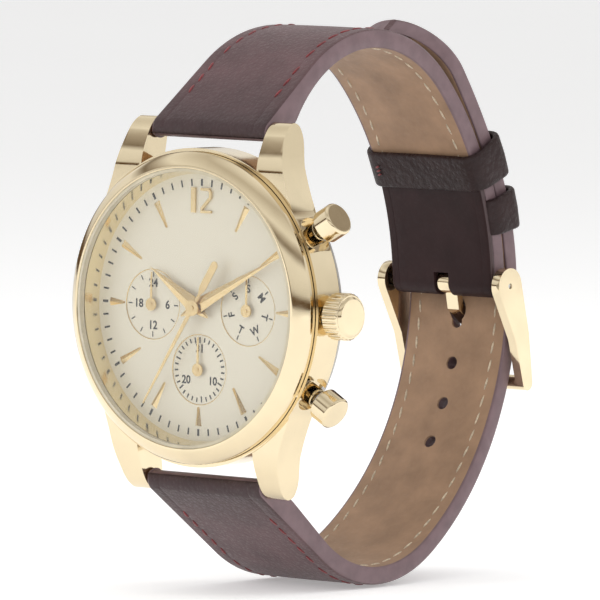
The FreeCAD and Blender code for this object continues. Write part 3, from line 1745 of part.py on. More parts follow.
def check():
    """Stop before writing if any object failed or any sub-part has no sound shape."""
    for obj in doc.Objects:
        if {"Invalid", "Error"} & set(obj.State):
            raise RuntimeError(f"{obj.Label} failed: {obj.State}")
    for label, obj in nodes.items():
        if obj.Shape.isNull() or not obj.Shape.isValid() or not obj.Shape.Solids:
            raise RuntimeError(f"{label} has no sound shape")


def write():
    os.makedirs("parts", exist_ok=True)
    for label, obj in nodes.items():
        obj.Shape.exportStep(f"parts/{label}.step")


build()
check()
write()
print(len(nodes), "sub-parts")
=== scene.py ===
import math

import bmesh
import bpy
from mathutils import Matrix, Vector


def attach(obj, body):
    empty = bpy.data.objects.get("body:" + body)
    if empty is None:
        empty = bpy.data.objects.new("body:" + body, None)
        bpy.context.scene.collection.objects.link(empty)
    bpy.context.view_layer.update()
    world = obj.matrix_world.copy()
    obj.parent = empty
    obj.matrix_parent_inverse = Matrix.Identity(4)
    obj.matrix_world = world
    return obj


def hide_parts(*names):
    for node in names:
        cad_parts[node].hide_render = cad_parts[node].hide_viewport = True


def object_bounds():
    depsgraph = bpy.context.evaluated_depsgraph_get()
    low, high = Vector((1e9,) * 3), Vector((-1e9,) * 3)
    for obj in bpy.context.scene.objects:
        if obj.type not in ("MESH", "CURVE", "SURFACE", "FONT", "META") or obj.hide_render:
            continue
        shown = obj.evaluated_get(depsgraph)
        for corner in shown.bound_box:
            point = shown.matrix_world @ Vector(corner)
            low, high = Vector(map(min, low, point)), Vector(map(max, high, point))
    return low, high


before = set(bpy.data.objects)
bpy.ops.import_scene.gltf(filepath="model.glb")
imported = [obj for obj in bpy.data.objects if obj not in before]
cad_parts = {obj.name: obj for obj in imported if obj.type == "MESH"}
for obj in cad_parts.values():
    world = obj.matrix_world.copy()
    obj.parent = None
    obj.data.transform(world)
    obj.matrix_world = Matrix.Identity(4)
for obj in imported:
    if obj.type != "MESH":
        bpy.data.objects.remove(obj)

CAD_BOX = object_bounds()
MM = 0.001
DIAL_DEPTH = 5.6


def row(x, depth, up):
    """Metres in the row frame, from millimetres across, behind the dial's face and up."""
    return Vector((x * MM, (depth - DIAL_DEPTH) * MM, up * MM))


# ---------------------------------------------------------------- camera


def make_camera():
    """The viewing angle: 39.9 degrees round to the right, 3.8 degrees up, a long lens."""
    azimuth, elevation, roll = (math.radians(v) for v in (39.871, 3.767, 0.883))
    focal, distance = 9098.5, 1194.5
    aside, lift = -99.867, -7.527
    right0 = Vector((math.cos(azimuth), math.sin(azimuth), 0))
    back = Vector(
        (
            math.sin(azimuth) * math.cos(elevation),
            -math.cos(azimuth) * math.cos(elevation),
            math.sin(elevation),
        )
    )
    up0 = back.cross(right0)
    right = math.cos(roll) * right0 + math.sin(roll) * up0
    up = -math.sin(roll) * right0 + math.cos(roll) * up0
    place = distance * (back - right * (aside / focal) - up * (lift / focal))
    place += Vector((0, -DIAL_DEPTH, 0))
    data = bpy.data.cameras.new("camera")
    data.sensor_width = 36
    data.lens = 36 * focal / 600
    data.clip_start = 0.05
    data.clip_end = 20
    camera = bpy.data.objects.new("camera", data)
    bpy.context.scene.collection.objects.link(camera)
    camera.matrix_world = Matrix.Translation(place * MM) @ Matrix(
        [[right[i], up[i], back[i]] for i in range(3)]
    ).to_4x4()
    bpy.context.scene.camera = camera


make_camera()

# ---------------------------------------------------------------- materials


class Shade:
    """A procedural material being put together."""

    def __init__(self, name, colour, roughness, metallic=0.0):
        self.material = bpy.data.materials.new(name)
        self.material.use_nodes = True
        self.tree = self.material.node_tree
        self.shader = self.tree.nodes["Principled BSDF"]
        self.colour = colour
        self.shader.inputs["Base Color"].default_value = (*colour, 1)
        self.shader.inputs["Roughness"].default_value = roughness
        self.shader.inputs["Metallic"].default_value = metallic
        self.place = self.tree.nodes.new("ShaderNodeTexCoord").outputs["Object"]

    def set(self, **values):
        for name, value in values.items():
            self.shader.inputs[name.replace("_", " ")].default_value = value
        return self

    def node(self, kind, **inputs):
        made = self.tree.nodes.new(kind)
        for name, value in inputs.items():
            socket = made.inputs[name.replace("_", " ")]
            if isinstance(value, bpy.types.NodeSocket):
                self.tree.links.new(value, socket)
            else:
                socket.default_value = value
        return made

    def noise(self, size, detail=3.0, rough=0.5, place=None):
        made = self.node("ShaderNodeTexNoise", Scale=1 / size, Detail=detail, Roughness=rough)
        self.tree.links.new(place or self.place, made.inputs["Vector"])
        return made.outputs["Fac"]

    def cells(self, size, feature="F1"):
        made = self.node("ShaderNodeTexVoronoi", Scale=1 / size)
        made.feature = feature
        self.tree.links.new(self.place, made.inputs["Vector"])
        return made.outputs["Distance"]

    def ramp(self, value, stops):
        made = self.node("ShaderNodeValToRGB", Fac=value)
        ramp = made.color_ramp
        for i, (at, colour) in enumerate(stops):
            stop = ramp.elements[i] if i < 2 else ramp.elements.new(at)
            stop.position = at
            stop.color = (*colour, 1) if len(colour) == 3 else colour
        return made.outputs["Color"]

    def math(self, kind, a, b):
        made = self.tree.nodes.new("ShaderNodeMath")
        made.operation = kind
        for i, value in enumerate((a, b)):
            if isinstance(value, bpy.types.NodeSocket):
                self.tree.links.new(value, made.inputs[i])
            else:
                made.inputs[i].default_value = value
        return made.outputs[0]

    def tint(self, value, dark, light, low=0.35, high=0.65):
        """Base colour from dark to light by a value, as shares of the material's colour."""
        stops = [
            (low, tuple(c * dark for c in self.colour)),
            (high, tuple(min(1, c * light) for c in self.colour)),
        ]
        self.tree.links.new(self.ramp(value, stops), self.shader.inputs["Base Color"])
        return self

    def rough(self, value, low, high, at=(0.35, 0.65)):
        ramp = self.ramp(value, [(at[0], (low,) * 3), (at[1], (high,) * 3)])
        self.tree.links.new(ramp, self.shader.inputs["Roughness"])
        return self

    def bump(self, height, distance, strength=1.0):
        made = self.node("ShaderNodeBump", Strength=strength, Distance=distance, Height=height)
        before = self.shader.inputs["Normal"]
        if before.is_linked:
            self.tree.links.new(before.links[0].from_socket, made.inputs["Normal"])
        self.tree.links.new(made.outputs["Normal"], before)
        return self


def polished(name, colour, roughness=0.1):
    """Plated and polished metal: faint waviness, hairline wear and a little dulling."""
    shade = Shade(name, colour, roughness, 1.0)
    shade.tint(shade.noise(0.006), 0.97, 1.03)
    shade.rough(shade.noise(0.0025, 6), roughness * 0.75, roughness * 1.4)
    shade.bump(shade.noise(0.0035, 2), 0.00002, 0.35)
    shade.bump(shade.noise(0.00025, 4), 0.000002, 0.3)
    return shade.material


def turned_steel(name, colour, roughness=0.3):
    """Steel with fine circular brushing about the watch's centre."""
    shade = Shade(name, colour, roughness, 1.0)
    parts = shade.node("ShaderNodeSeparateXYZ", Vector=shade.place)
    radius = shade.math(
        "SQRT",
        shade.math(
            "ADD",
            shade.math("MULTIPLY", parts.outputs["X"], parts.outputs["X"]),
            shade.math("MULTIPLY", parts.outputs["Z"], parts.outputs["Z"]),
        ),
        0.0,
    )
    rings = shade.node("ShaderNodeCombineXYZ", X=radius).outputs[0]
    lines = shade.noise(0.00012, 5, 0.6, rings)
    shade.tint(lines, 0.86, 1.08)
    shade.rough(lines, roughness * 0.8, roughness * 1.3)
    shade.bump(lines, 0.000006, 0.6)
    return shade.material


def leather(
    name, colour, grain=0.00042, depth=0.00006, rough=(0.42, 0.6), strength=0.55, gloss=0.42, sheen=0.12
):
    """Pebbled and creased hide: soft cells, finer pores and uneven dye."""
    shade = Shade(name, colour, rough[0])
    cells = shade.cells(grain, "SMOOTH_F1")
    pores = shade.noise(grain * 0.45, 4, 0.6)
    height = shade.math("ADD", shade.math("MULTIPLY", cells, 0.8), shade.math("MULTIPLY", pores, 0.6))
    shade.tint(shade.noise(0.0045, 5, 0.6), 0.82, 1.2, 0.3, 0.7)
    shade.rough(height, rough[0], rough[1])
    shade.bump(shade.noise(0.0035, 3), 0.00012, 0.3)
    shade.bump(height, depth, strength)
    shade.set(Specular_IOR_Level=gloss, Sheen_Weight=sheen, Sheen_Roughness=0.45)
    return shade.material


def paint_shade_near_case(material):
    """Painted shade: the outer leather's base colour is darkened towards the case, where it folds round the
    lug bars.
    """
    tree = material.node_tree
    shader = tree.nodes["Principled BSDF"]
    place = tree.nodes.new("ShaderNodeTexCoord")
    parts = tree.nodes.new("ShaderNodeSeparateXYZ")
    tree.links.new(place.outputs["Object"], parts.inputs[0])
    # painted shade: the base colour is multiplied down to 0.42 towards the case and up to 1.0 further out
    span = tree.nodes.new("ShaderNodeMapRange")
    span.inputs["From Min"].default_value = -0.0045
    span.inputs["From Max"].default_value = 0.004
    span.inputs["To Min"].default_value = 0.42
    span.inputs["To Max"].default_value = 1.0
    tree.links.new(parts.outputs["Y"], span.inputs["Value"])
    shade = tree.nodes.new("ShaderNodeMix")
    shade.data_type = "RGBA"
    shade.blend_type = "MULTIPLY"
    shade.inputs["Factor"].default_value = 1.0
    base = shader.inputs["Base Color"]
    tree.links.new(base.links[0].from_socket, shade.inputs["A"])
    tree.links.new(span.outputs["Result"], shade.inputs["B"])
    tree.links.new(shade.outputs["Result"], base)


def edge_paint(name, colour):
    """Smooth lacquered strap edge with the layers showing through faintly."""
    shade = Shade(name, colour, 0.4)
    shade.tint(shade.noise(0.0022, 4), 0.9, 1.12)
    shade.rough(shade.noise(0.0009, 3), 0.34, 0.5)
    shade.bump(shade.noise(0.0007, 3), 0.00004, 0.35)
    shade.set(Specular_IOR_Level=0.45)
    return shade.material


def thread(name, colour):
    shade = Shade(name, colour, 0.7)
    shade.tint(shade.noise(0.0004, 3), 0.7, 1.25)
    twist = shade.node("ShaderNodeTexWave", Scale=4200.0, Distortion=1.5, Vector=shade.place)
    twist.bands_direction = "DIAGONAL"
    shade.bump(twist.outputs["Fac"], 0.00004, 0.6)
    shade.set(Sheen_Weight=0.3)
    return shade.material


def moulded(name, colour, rough=0.45):
    shade = Shade(name, colour, rough)
    shade.tint(shade.noise(0.003), 0.9, 1.1)
    shade.bump(shade.noise(0.0002, 3), 0.00001, 0.4)
    return shade.material


def dial_paint(name, colour, metallic, rough):
    """Champagne lacquer over a finely blasted and faintly rayed plate."""
    shade = Shade(name, colour, rough, metallic)
    parts = shade.node("ShaderNodeSeparateXYZ", Vector=shade.place)
    turn = shade.tree.nodes.new("ShaderNodeMath")
    turn.operation = "ARCTAN2"
    shade.tree.links.new(parts.outputs["X"], turn.inputs[0])
    shade.tree.links.new(parts.outputs["Z"], turn.inputs[1])
    rays = shade.node("ShaderNodeCombineXYZ", X=turn.outputs[0]).outputs[0]
    streaks = shade.noise(0.012, 4, 0.55, rays)
    grain = shade.noise(0.00022, 3, 0.6)
    mixed = shade.math(
        "ADD", shade.math("MULTIPLY", streaks, 0.35), shade.math("MULTIPLY", grain, 0.65)
    )
    shade.tint(mixed, 0.94, 1.05, 0.3, 0.7)
    shade.rough(mixed, rough * 0.85, rough * 1.15)
    shade.bump(grain, 0.000012, 0.5)
    return shade.material


GOLD_COLOUR = (0.84, 0.71, 0.485)
MATERIALS = {
    "gold": polished("polished_gold", GOLD_COLOUR, 0.09),
    "gold_bright": polished("applied_gold", (0.74, 0.57, 0.3), 0.14),
    "hand": polished("hand_gold", (0.70, 0.53, 0.27), 0.18),
    "rehaut": polished("rehaut_gold", (0.86, 0.74, 0.48), 0.13),
    "gasket": moulded("clear_gasket", (0.55, 0.49, 0.36), 0.35),
    "back": turned_steel("brushed_back", (0.52, 0.5, 0.47)),
    "steel": polished("turned_steel", (0.6, 0.6, 0.62), 0.25),
    "brass": polished("wheel_brass", (0.78, 0.58, 0.26), 0.28),
    "dial": dial_paint("dial_lacquer", (0.70, 0.655, 0.53), 0.3, 0.42),
    "print": moulded("dial_print_black", (0.012, 0.011, 0.01), 0.5),
    "rubber": moulded("black_rubber", (0.02, 0.02, 0.02), 0.7),
    "plastic": moulded("movement_plastic", (0.08, 0.08, 0.09)),
    "white_plastic": moulded("holder_plastic", (0.75, 0.74, 0.7)),
    "copper": moulded("enamelled_copper", (0.5, 0.18, 0.06), 0.3),
    "board": moulded("circuit_board", (0.02, 0.07, 0.03)),
    "chip": moulded("chip_resin", (0.015, 0.015, 0.015), 0.4),
    "outer": leather("outer_leather", (0.105, 0.056, 0.060), 0.0005, 0.00012, (0.38, 0.6), 0.8),
    "lining": leather("lining_leather", (0.33, 0.205, 0.125), 0.0006, 0.00003, (0.55, 0.7), 0.4),
    "dark": leather("dark_leather", (0.027, 0.0125, 0.013), 0.00055, 0.00002, (0.42, 0.55), 0.35, 0.2, 0.0),
    "pebbled": leather(
        "pebbled_leather", (0.023, 0.0105, 0.0105), 0.0007, 0.0002, (0.3, 0.48), 1.0, 0.3, 0.0
    ),
    "edge": edge_paint("painted_edge", (0.175, 0.115, 0.125)),
    "dark_edge": edge_paint("painted_dark_edge", (0.06, 0.035, 0.036)),
    "red_thread": thread("dark_red_thread", (0.2, 0.022, 0.026)),
    "cream_thread": thread("cream_thread", (0.62, 0.52, 0.38)),
}


def make_glass():
    """Clear mineral glass: almost nothing but a weak gloss."""
    shade = Shade("mineral_glass", (1.0, 1.0, 1.0), 0.02)
    shade.set(Alpha=0.05, Specular_IOR_Level=0.5)
    shade.rough(shade.noise(0.004, 3), 0.01, 0.03)
    return shade.material


MATERIALS["glass"] = make_glass()
# paints shade into the outer leather's colour near the case
paint_shade_near_case(MATERIALS["outer"])

CAD_FINISH = {
    "gold": "mid_case bezel crown upper_pusher lower_pusher buckle_frame buckle_tongue pusher_tubes "
    "crown_tube",
    "gold_bright": "hour_markers numeral_twelve",
    "hand": "hour_hand minute_hand seconds_hand twenty_four_hour_hand day_hand date_hand",
    "rehaut": "rehaut_ring",
    "back": "case_back battery",
    "steel": "lug_spring_bars buckle_spring_bar winding_stem clutch_wheel setting_lever "
    "upper_pusher_spring lower_pusher_spring train_bridge bridge_screws battery_clamp "
    "coil_core stator rotor quartz_crystal",
    "brass": "seconds_wheel third_wheel centre_wheel intermediate_wheel minute_work_wheel hour_wheel "
    "twenty_four_hour_idler twenty_four_hour_wheel day_star_wheel date_star_wheel",
    "dial": "dial",
    "rubber": "case_back_gasket",
    "gasket": "crystal_gasket",
    "plastic": "main_plate",
    "white_plastic": "movement_holder",
    "copper": "coil_winding",
    "board": "circuit_board",
    "chip": "timing_chip",
    "glass": "crystal",
}
# how far each visible metal piece's edges are broken, in mm
EDGE_BREAKS = {
    "mid_case": 0.16,
    "bezel": 0.1,
    "buckle_frame": 0.12,
    "buckle_tongue": 0.12,
    "crown": 0.05,
    "upper_pusher": 0.09,
    "lower_pusher": 0.09,
    "case_back": 0.12,
    "pusher_tubes": 0.05,
    "numeral_twelve": 0.04,
}


def finish_cad_nodes():
    for key, names in CAD_FINISH.items():
        for name in names.split():
            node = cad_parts[name]
            node.data.materials.clear()
            node.data.materials.append(MATERIALS[key])
    for name, width in EDGE_BREAKS.items():
        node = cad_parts[name]
        weld = node.modifiers.new("weld", "WELD")
        weld.merge_threshold = 0.000001
        flat = node.modifiers.new("flat", "DECIMATE")
        flat.decimate_type = "DISSOLVE"
        flat.angle_limit = math.radians(0.6)
        flat.delimit = {"SHARP"}
        bevel = node.modifiers.new("bevel", "BEVEL")
        bevel.width = width * MM
        bevel.segments = 3
        bevel.limit_method = "ANGLE"
        bevel.angle_limit = math.radians(28)
        bevel.miter_outer = "MITER_ARC"
        smooth = node.modifiers.new("normals", "WEIGHTED_NORMAL")
        smooth.keep_sharp = False
        smooth.weight = 80


finish_cad_nodes()

# ---------------------------------------------------------------- mesh helpers


def add_piece(name, bm, materials, body, replaced=(), smooth=True):
    """A finished mesh piece that rides on a body."""
    mesh = bpy.data.meshes.new(name)
    bmesh.ops.recalc_face_normals(bm, faces=bm.faces)
    bm.to_mesh(mesh)
    bm.free()
    for key in materials:
        mesh.materials.append(MATERIALS[key])
    if smooth:
        mesh.polygons.foreach_set("use_smooth", [True] * len(mesh.polygons))
    piece = bpy.data.objects.new(name, mesh)
    bpy.context.scene.collection.objects.link(piece)
    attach(piece, body)
    if replaced:
        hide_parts(*replaced)
    return piece


def loft(bm, rings, materials=None, closed=False):
    """Quads through rings of equal length; one material index per ring point."""
    made = [[bm.verts.new(point) for point in ring] for ring in rings]
    count = len(rings[0])
    spans = len(made) if closed else len(made) - 1
    for i in range(spans):
        here, there = made[i], made[(i + 1) % len(made)]
        for j in range(count):
            k = (j + 1) % count
            face = bm.faces.new((here[j], here[k], there[k], there[j]))
            face.material_index = materials[j] if materials else 0
    if not closed:
        bm.faces.new(made[0][::-1]).material_index = materials[0] if materials else 0
        bm.faces.new(made[-1]).material_index = materials[0] if materials else 0


def cut_with(piece, cutters):
    """Takes cutting meshes out of a piece for good."""
    for cutter in cutters:
        mod = piece.modifiers.new("cut", "BOOLEAN")
        mod.object = cutter
        mod.operation = "DIFFERENCE"
        mod.solver = "EXACT"
    bpy.context.view_layer.update()
    graph = bpy.context.evaluated_depsgraph_get()
    mesh = bpy.data.meshes.new_from_object(piece.evaluated_get(graph))
    piece.modifiers.clear()
    mesh.set_sharp_from_angle(angle=math.radians(38))
    piece.data = mesh


def cutter_object(bm):
    mesh = bpy.data.meshes.new("cutter")
    bmesh.ops.recalc_face_normals(bm, faces=bm.faces)
    bm.to_mesh(mesh)
    bm.free()
    made = bpy.data.objects.new("cutter", mesh)
    bpy.context.scene.collection.objects.link(made)
    return made


# ---------------------------------------------------------------- the strap's courses


class Course:
    """A side-view line of straight runs and arcs, in millimetres: (depth, up) and a heading."""

    def __init__(self, start, heading, legs):
        self.legs = []
        x, z = start
        angle = math.radians(heading)
        for size, turn in legs:
            length = size if turn == 0 else size * math.radians(abs(turn))
            self.legs.append((x, z, angle, size, turn, length))
            x, z, angle = self.advance(self.legs[-1], length)
        self.length = sum(leg[5] for leg in self.legs)

    @staticmethod
    def advance(leg, s):
        x, z, angle, size, turn, _ = leg
        if turn == 0:
            return x + s * math.cos(angle), z + s * math.sin(angle), angle
        hand = math.copysign(1, turn)
        cx, cz = x - hand * size * math.sin(angle), z + hand * size * math.cos(angle)
        swept = hand * s / size
        dx, dz = x - cx, z - cz
        cos, sin = math.cos(swept), math.sin(swept)
        return cx + dx * cos - dz * sin, cz + dx * sin + dz * cos, angle + swept

    def at(self, s):
        for i, leg in enumerate(self.legs):
            if s <= leg[5] or i == len(self.legs) - 1:
                return self.advance(leg, s)
            s -= leg[5]

    def point(self, s, off, side):
        """The point at arc length s, set off outwards; side is +1 where outwards is to the left."""
        x, z, angle = self.at(s)
        return x - side * off * math.sin(angle), z + side * off * math.cos(angle)


SHORT_ROOT_RADIUS, LONG_ROOT_RADIUS, CREST_RADIUS = 19.7, 18.4, 40.8
SHORT = Course((7.58, 24.35), 59.2, [(SHORT_ROOT_RADIUS, -104.8), (CREST_RADIUS, -40.5)])
LONG = Course(
    (8.01, -25.24),
    -39.6,
    [(8.96, 0), (LONG_ROOT_RADIUS, 72.7), (38.0, 84.0), (92.0, 9.65), (400.0, 1.0)],
)
FOLD_RADIUS = 1.55
STRAP_THICKNESS, TAIL_THICKNESS = 2.5, 2.4
FLAP_START = SHORT.length - 13.6
SEAM = 2.1  # the red stitching's distance from the strap's edge
LINING_SEAM = 2.0
LINING_INSET = 0.33
LINING_FACES = (-0.03, 0.28)  # offsets from the course, towards the strap's outside
FREE_KEEPER_TURN, FIXED_KEEPER_TURN = 19.4, 29.1  # degrees of the crest's arc
BAR = (51.95, 1.3)
SHORT_LUG_BAR, LONG_LUG_BAR = (2.55, 23.4), (2.55, -23.4)


def mix(a, b, t):
    return a + (b - a) * t


def table(value, stations):
    """Straight-line interpolation in (value, result) stations."""
    if value <= stations[0][0]:
        return stations[0][1]
    for (a, fa), (b, fb) in zip(stations, stations[1:]):
        if value <= b:
            return mix(fa, fb, (value - a) / (b - a))
    return stations[-1][1]


def eased(t):
    t = min(1, max(0, t))
    return t * t * (3 - 2 * t)


def short_half(depth, up=0.0):
    """The short strap's half width; it narrows with depth alone."""
    return table(depth, [(2, 9.78), (25, 8.85), (60, 8.6)])


def long_half(depth, up):
    """The long strap's half width, down to the even width of its tail."""
    base = table(depth, [(2, 9.75), (25, 9.5), (52, 8.62), (62, 8.5)])
    return mix(base, 8.5, eased((up + 6) / 8))


def root_lines(bar, start, centre, radius, side):
    """The tangent points of the padded root: fold to inner line, fold to outer line."""
    dx, dz = centre[0] - bar[0], side * (centre[1] - bar[1])
    slope = math.atan2(dz, dx) + math.asin((radius - FOLD_RADIUS) / math.hypot(dx, dz))
    normal = (-math.sin(slope), math.cos(slope))
    near = (bar[0] + FOLD_RADIUS * normal[0], bar[1] + side * FOLD_RADIUS * normal[1])
    far = (centre[0] + radius * normal[0], centre[1] + side * radius * normal[1])
    gx, gz = start[0] - bar[0], side * (start[1] - bar[1])
    under = math.atan2(gz, gx) - math.acos(FOLD_RADIUS / math.hypot(gx, gz))
    below = (bar[0] + FOLD_RADIUS * math.cos(under), bar[1] + side * FOLD_RADIUS * math.sin(under))
    return near, far, below, under, slope + math.pi / 2


def root_sections(bar, course, side, centre, radius, joined_at):
    """(inner, outer) side-view points from round the spring bar to where the strap is even."""
    start = course.at(0)[:2]
    near, far, below, under, over = root_lines(bar, start, centre, radius, side)
    pairs = []
    around = (2 * math.pi - (over - under)) / 2
    steps = 7
    for i in range(steps):
        swing = around * (1 - i / steps) * 0.97
        for_angles = (under - swing, over + swing)
        pair = [
            (bar[0] + FOLD_RADIUS * math.cos(v), bar[1] + side * FOLD_RADIUS * math.sin(v))
            for v in for_angles
        ]
        pairs.append(tuple(pair))
    straight = math.dist(below, start)
    total = straight + joined_at
    count = 16
    for i in range(count + 1):
        s = total * i / count
        if s < straight:
            inner = tuple(mix(below[k], start[k], s / straight) for k in (0, 1))
        else:
            inner = course.at(s - straight)[:2]
        outer = tuple(mix(near[k], far[k], i / count) for k in (0, 1))
        pairs.append((inner, outer))
    return pairs


def profile(half, thick, rim=0.3, recess=0.3, seam=SEAM, seam_depth=0.07, crown=0.12):
    """One closed cross-section of a strap: (across, off, material) from the outer face round."""
    r_out = min(0.5, thick * 0.4)
    r_in = min(0.22, thick * 0.25)
    right = []
    flat = half - r_out
    for share in (0.0, 0.2, 0.4, 0.58, 0.7):
        right.append((flat * share, thick + crown * (1 - share**2) * 0.6, 0))
    for gap, drop in ((0.28, 0.0), (0.12, 0.6), (0, 1), (-0.12, 0.6), (-0.28, 0.0)):
        right.append((half - seam - gap, thick + 0.02 - seam_depth * drop, 0))
    right.append((half - 1.3, thick + 0.02, 0))
    right.append((half - 0.85, thick, 0))
    for angle in (90, 65, 40, 20, 0):
        v = math.radians(angle)
        kind = 0 if angle > 50 else 1
        right.append((flat + r_out * math.cos(v), thick - r_out + r_out * math.sin(v), kind))
    right.append((half + 0.03, thick * 0.5, 1))
    for angle in (0, -30, -60, -90):
        v = math.radians(angle)
        right.append((half - r_in + r_in * math.cos(v), r_in + r_in * math.sin(v), 1))
    right.append((half - rim - 0.05, 0.0, 1))
    right.append((half - rim - 0.07, recess, 1))
    right.append((half * 0.5, recess, 1))
    left = [(-x, n, kind) for x, n, kind in reversed(right[1:])]
    return right + left


def lay(points, inner, outer):
    """A cross-section placed between an inner and an outer side-view point."""
    dx, dz = outer[0] - inner[0], outer[1] - inner[1]
    span = math.hypot(dx, dz) or 1.0
    ux, uz = dx / span, dz / span
    return [row(x, inner[0] + n * ux, inner[1] + n * uz) for x, n, _ in points]


def strap_rings(sections, half_of, shares=None):
    """Rings and material indices through (inner, outer) sections, narrowed by their shares."""
    rings = []
    for i, (inner, outer) in enumerate(sections):
        half = half_of((inner[0] + outer[0]) / 2, inner[1])
        share = shares[i] if shares else 1.0
        points = [(x * share, n, kind) for x, n, kind in profile(half, math.dist(inner, outer))]
        rings.append(lay(points, inner, outer))
    return rings, [kind for _, _, kind in points]


def arc_centre(course, index):
    """The side-view centre of one of a course's arcs."""
    x, z, angle, size, turn, _ = course.legs[index]
    hand = math.copysign(1, turn)
    return x - hand * size * math.sin(angle), z + hand * size * math.cos(angle)


def where_opposite(course, point):
    """The arc length whose inner point is nearest to a side-view point."""
    best = min(range(2400), key=lambda i: math.dist(course.at(i * 0.02)[:2], point))
    return best * 0.02


def make_short_strap():
    """The 12 o'clock strap, from its lug bar to the buckle's bar."""
    bar = SHORT_LUG_BAR
    centre = arc_centre(SHORT, 0)
    radius = SHORT_ROOT_RADIUS + STRAP_THICKNESS
    far = root_lines(bar, SHORT.at(0)[:2], centre, radius, 1)[1]
    joined = where_opposite(SHORT, far)
    sections = root_sections(bar, SHORT, 1, centre, radius, joined)
    count = 150
    end = SHORT.length - 0.2
    for i in range(1, count + 1):
        s = mix(joined, end, i / count)
        swell = eased((s - FLAP_START) / 1.6)
        low = mix(0.0, 0.93, eased((s - FLAP_START + 0.2) / 0.5))
        high = mix(STRAP_THICKNESS, 3.2, swell)
        sections.append((SHORT.point(s, low, 1), SHORT.point(s, high, 1)))
    rings, kinds = strap_rings(sections, short_half)
    bm = bmesh.new()
    loft(bm, rings, kinds)
    piece = add_piece(
        "short_strap", bm, ["outer", "edge"], "case", ["short_strap_leather"]
    )
    slot = bmesh.new()
    bmesh.ops.create_cube(slot, size=1)
    bmesh.ops.scale(slot, vec=(2.6 * MM, 8 * MM, 5 * MM), verts=slot.verts)
    bmesh.ops.translate(slot, vec=row(0, BAR[0], BAR[1] + 0.1), verts=slot.verts)
    ring = bmesh.new()
    tube(ring, [(-12, *BAR), (12, *BAR)], 1.74)
    cutters = [cutter_object(slot), cutter_object(ring)]
    cut_with(piece, cutters)
    for cutter in cutters:
        bpy.data.objects.remove(cutter)


def tube(bm, line, radius, sides=28):
    """A closed round rod through (across, depth, up) points."""
    points = [row(*p) for p in line]
    rings = []
    for i, point in enumerate(points):
        ahead = points[min(i + 1, len(points) - 1)] - points[max(i - 1, 0)]
        ahead.normalize()
        side = ahead.orthogonal().normalized()
        other = ahead.cross(side)
        rings.append(
            [
                point
                + (side * math.cos(2 * math.pi * k / sides) + other * math.sin(2 * math.pi * k / sides))
                * (radius * MM)
                for k in range(sides)
            ]
        )
    loft(bm, rings)


def make_lining(name, course, side, last, half_of, steps, replaced, narrow=None):
    """The pale layer let into a strap's wrist side."""
    bm = bmesh.new()
    rings = []
    for i in range(steps + 1):
        s = mix(0.0, last, i / steps)
        x, z, _ = course.at(s)
        half = (half_of(x, z) - LINING_INSET) * (narrow(s) if narrow else 1.0)
        inner = course.point(s, LINING_FACES[0], side)
        outer = course.point(s, LINING_FACES[1], side)
        rings.append(lay(slab(half, LINING_FACES[1] - LINING_FACES[0]), inner, outer))
    loft(bm, rings)
    return add_piece(name, bm, ["lining"], "case", [replaced])


def slab(half, thick):
    """A thin layer's cross-section with softened corners."""
    r = min(0.12, thick * 0.45)
    points = []
    for cx, cy, start in (
        (half - r, thick - r, 0),
        (-half + r, thick - r, 90),
        (-half + r, r, 180),
        (half - r, r, 270),
    ):
        for step in range(4):
            v = math.radians(start + 30 * step)
            points.append((cx + r * math.cos(v), cy + r * math.sin(v), 0))
    return points


TIP_LENGTH = 7.5


def tail_narrowing(s):
    """The tail's tip is rounded: its share of the full width near the end."""
    left = LONG.length - s
    if left >= TIP_LENGTH:
        return 1.0
    t = 1 - left / TIP_LENGTH
    return math.sqrt(max(0.004, 1 - t**2))


def make_long_strap():
    """The 6 o'clock strap, up to the rounded tip of its tail."""
    bar = LONG_LUG_BAR
    centre = arc_centre(LONG, 1)
    radius = LONG_ROOT_RADIUS + TAIL_THICKNESS
    far = root_lines(bar, LONG.at(0)[:2], centre, radius, -1)[1]
    joined = where_opposite(LONG, far)
    sections = root_sections(bar, LONG, -1, centre, radius, joined)
    count = 230
    even = LONG.length - TIP_LENGTH
    stations = [joined + (even - joined) * i / count for i in range(1, count + 1)]
    stations += [even + TIP_LENGTH * math.sin(math.pi / 2 * i / 24) for i in range(1, 25)]
    shares = [1.0] * len(sections)
    for s in stations:
        sections.append((LONG.point(s, 0.0, -1), LONG.point(s, TAIL_THICKNESS, -1)))
        shares.append(tail_narrowing(s))
    rings, kinds = strap_rings(sections, long_half, shares)
    bm = bmesh.new()
    loft(bm, rings, kinds)
    return add_piece(
        "long_strap", bm, ["outer", "edge"], "case", ["long_strap_leather"]
    )


HOLE_RADIUS, HOLE_PITCH, HOLE_FIRST = 0.9, 5.7, 5.4
SIDE_RADIUS = 38.0


def hole_cutters():
    """Round punches square to the strap."""
    cx, cz = arc_centre(LONG, 2)
    level = math.asin((BAR[1] - cz) / SIDE_RADIUS)
    cutters = []
    for i in (-3, -2, -1, 0, 1, 2, 3):
        angle = level - (HOLE_FIRST + i * HOLE_PITCH) / SIDE_RADIUS
        ends = []
        for reach in (-2, 5):
            size = SIDE_RADIUS + reach
            ends.append((0, cx + size * math.cos(angle), cz + size * math.sin(angle)))
        bm = bmesh.new()
        tube(bm, ends, HOLE_RADIUS, 32)
        cutters.append(cutter_object(bm))
    return cutters


def make_strap_tail():
    """The long strap and both linings, with the holes through them."""
    strap = make_long_strap()
    make_lining(
        "short_strap_lining_layer", SHORT, 1, FLAP_START + 0.6, short_half, 110, "short_strap_lining"
    )
    lining = make_lining(
        "long_strap_lining_layer",
        LONG,
        -1,
        LONG.length - 1.2,
        long_half,
        260,
        "long_strap_lining",
        tail_narrowing,
    )
    cutters = hole_cutters()
    passage = bmesh.new()
    tube(passage, [(0, 52.6, -1.3), (0, 53.6, -2.2), (0, 57.6, -5.3)], 1.42, 24)
    cutters.append(cutter_object(passage))
    cut_with(strap, cutters)
    cut_with(lining, cutters)
    for cutter in cutters:
        bpy.data.objects.remove(cutter)


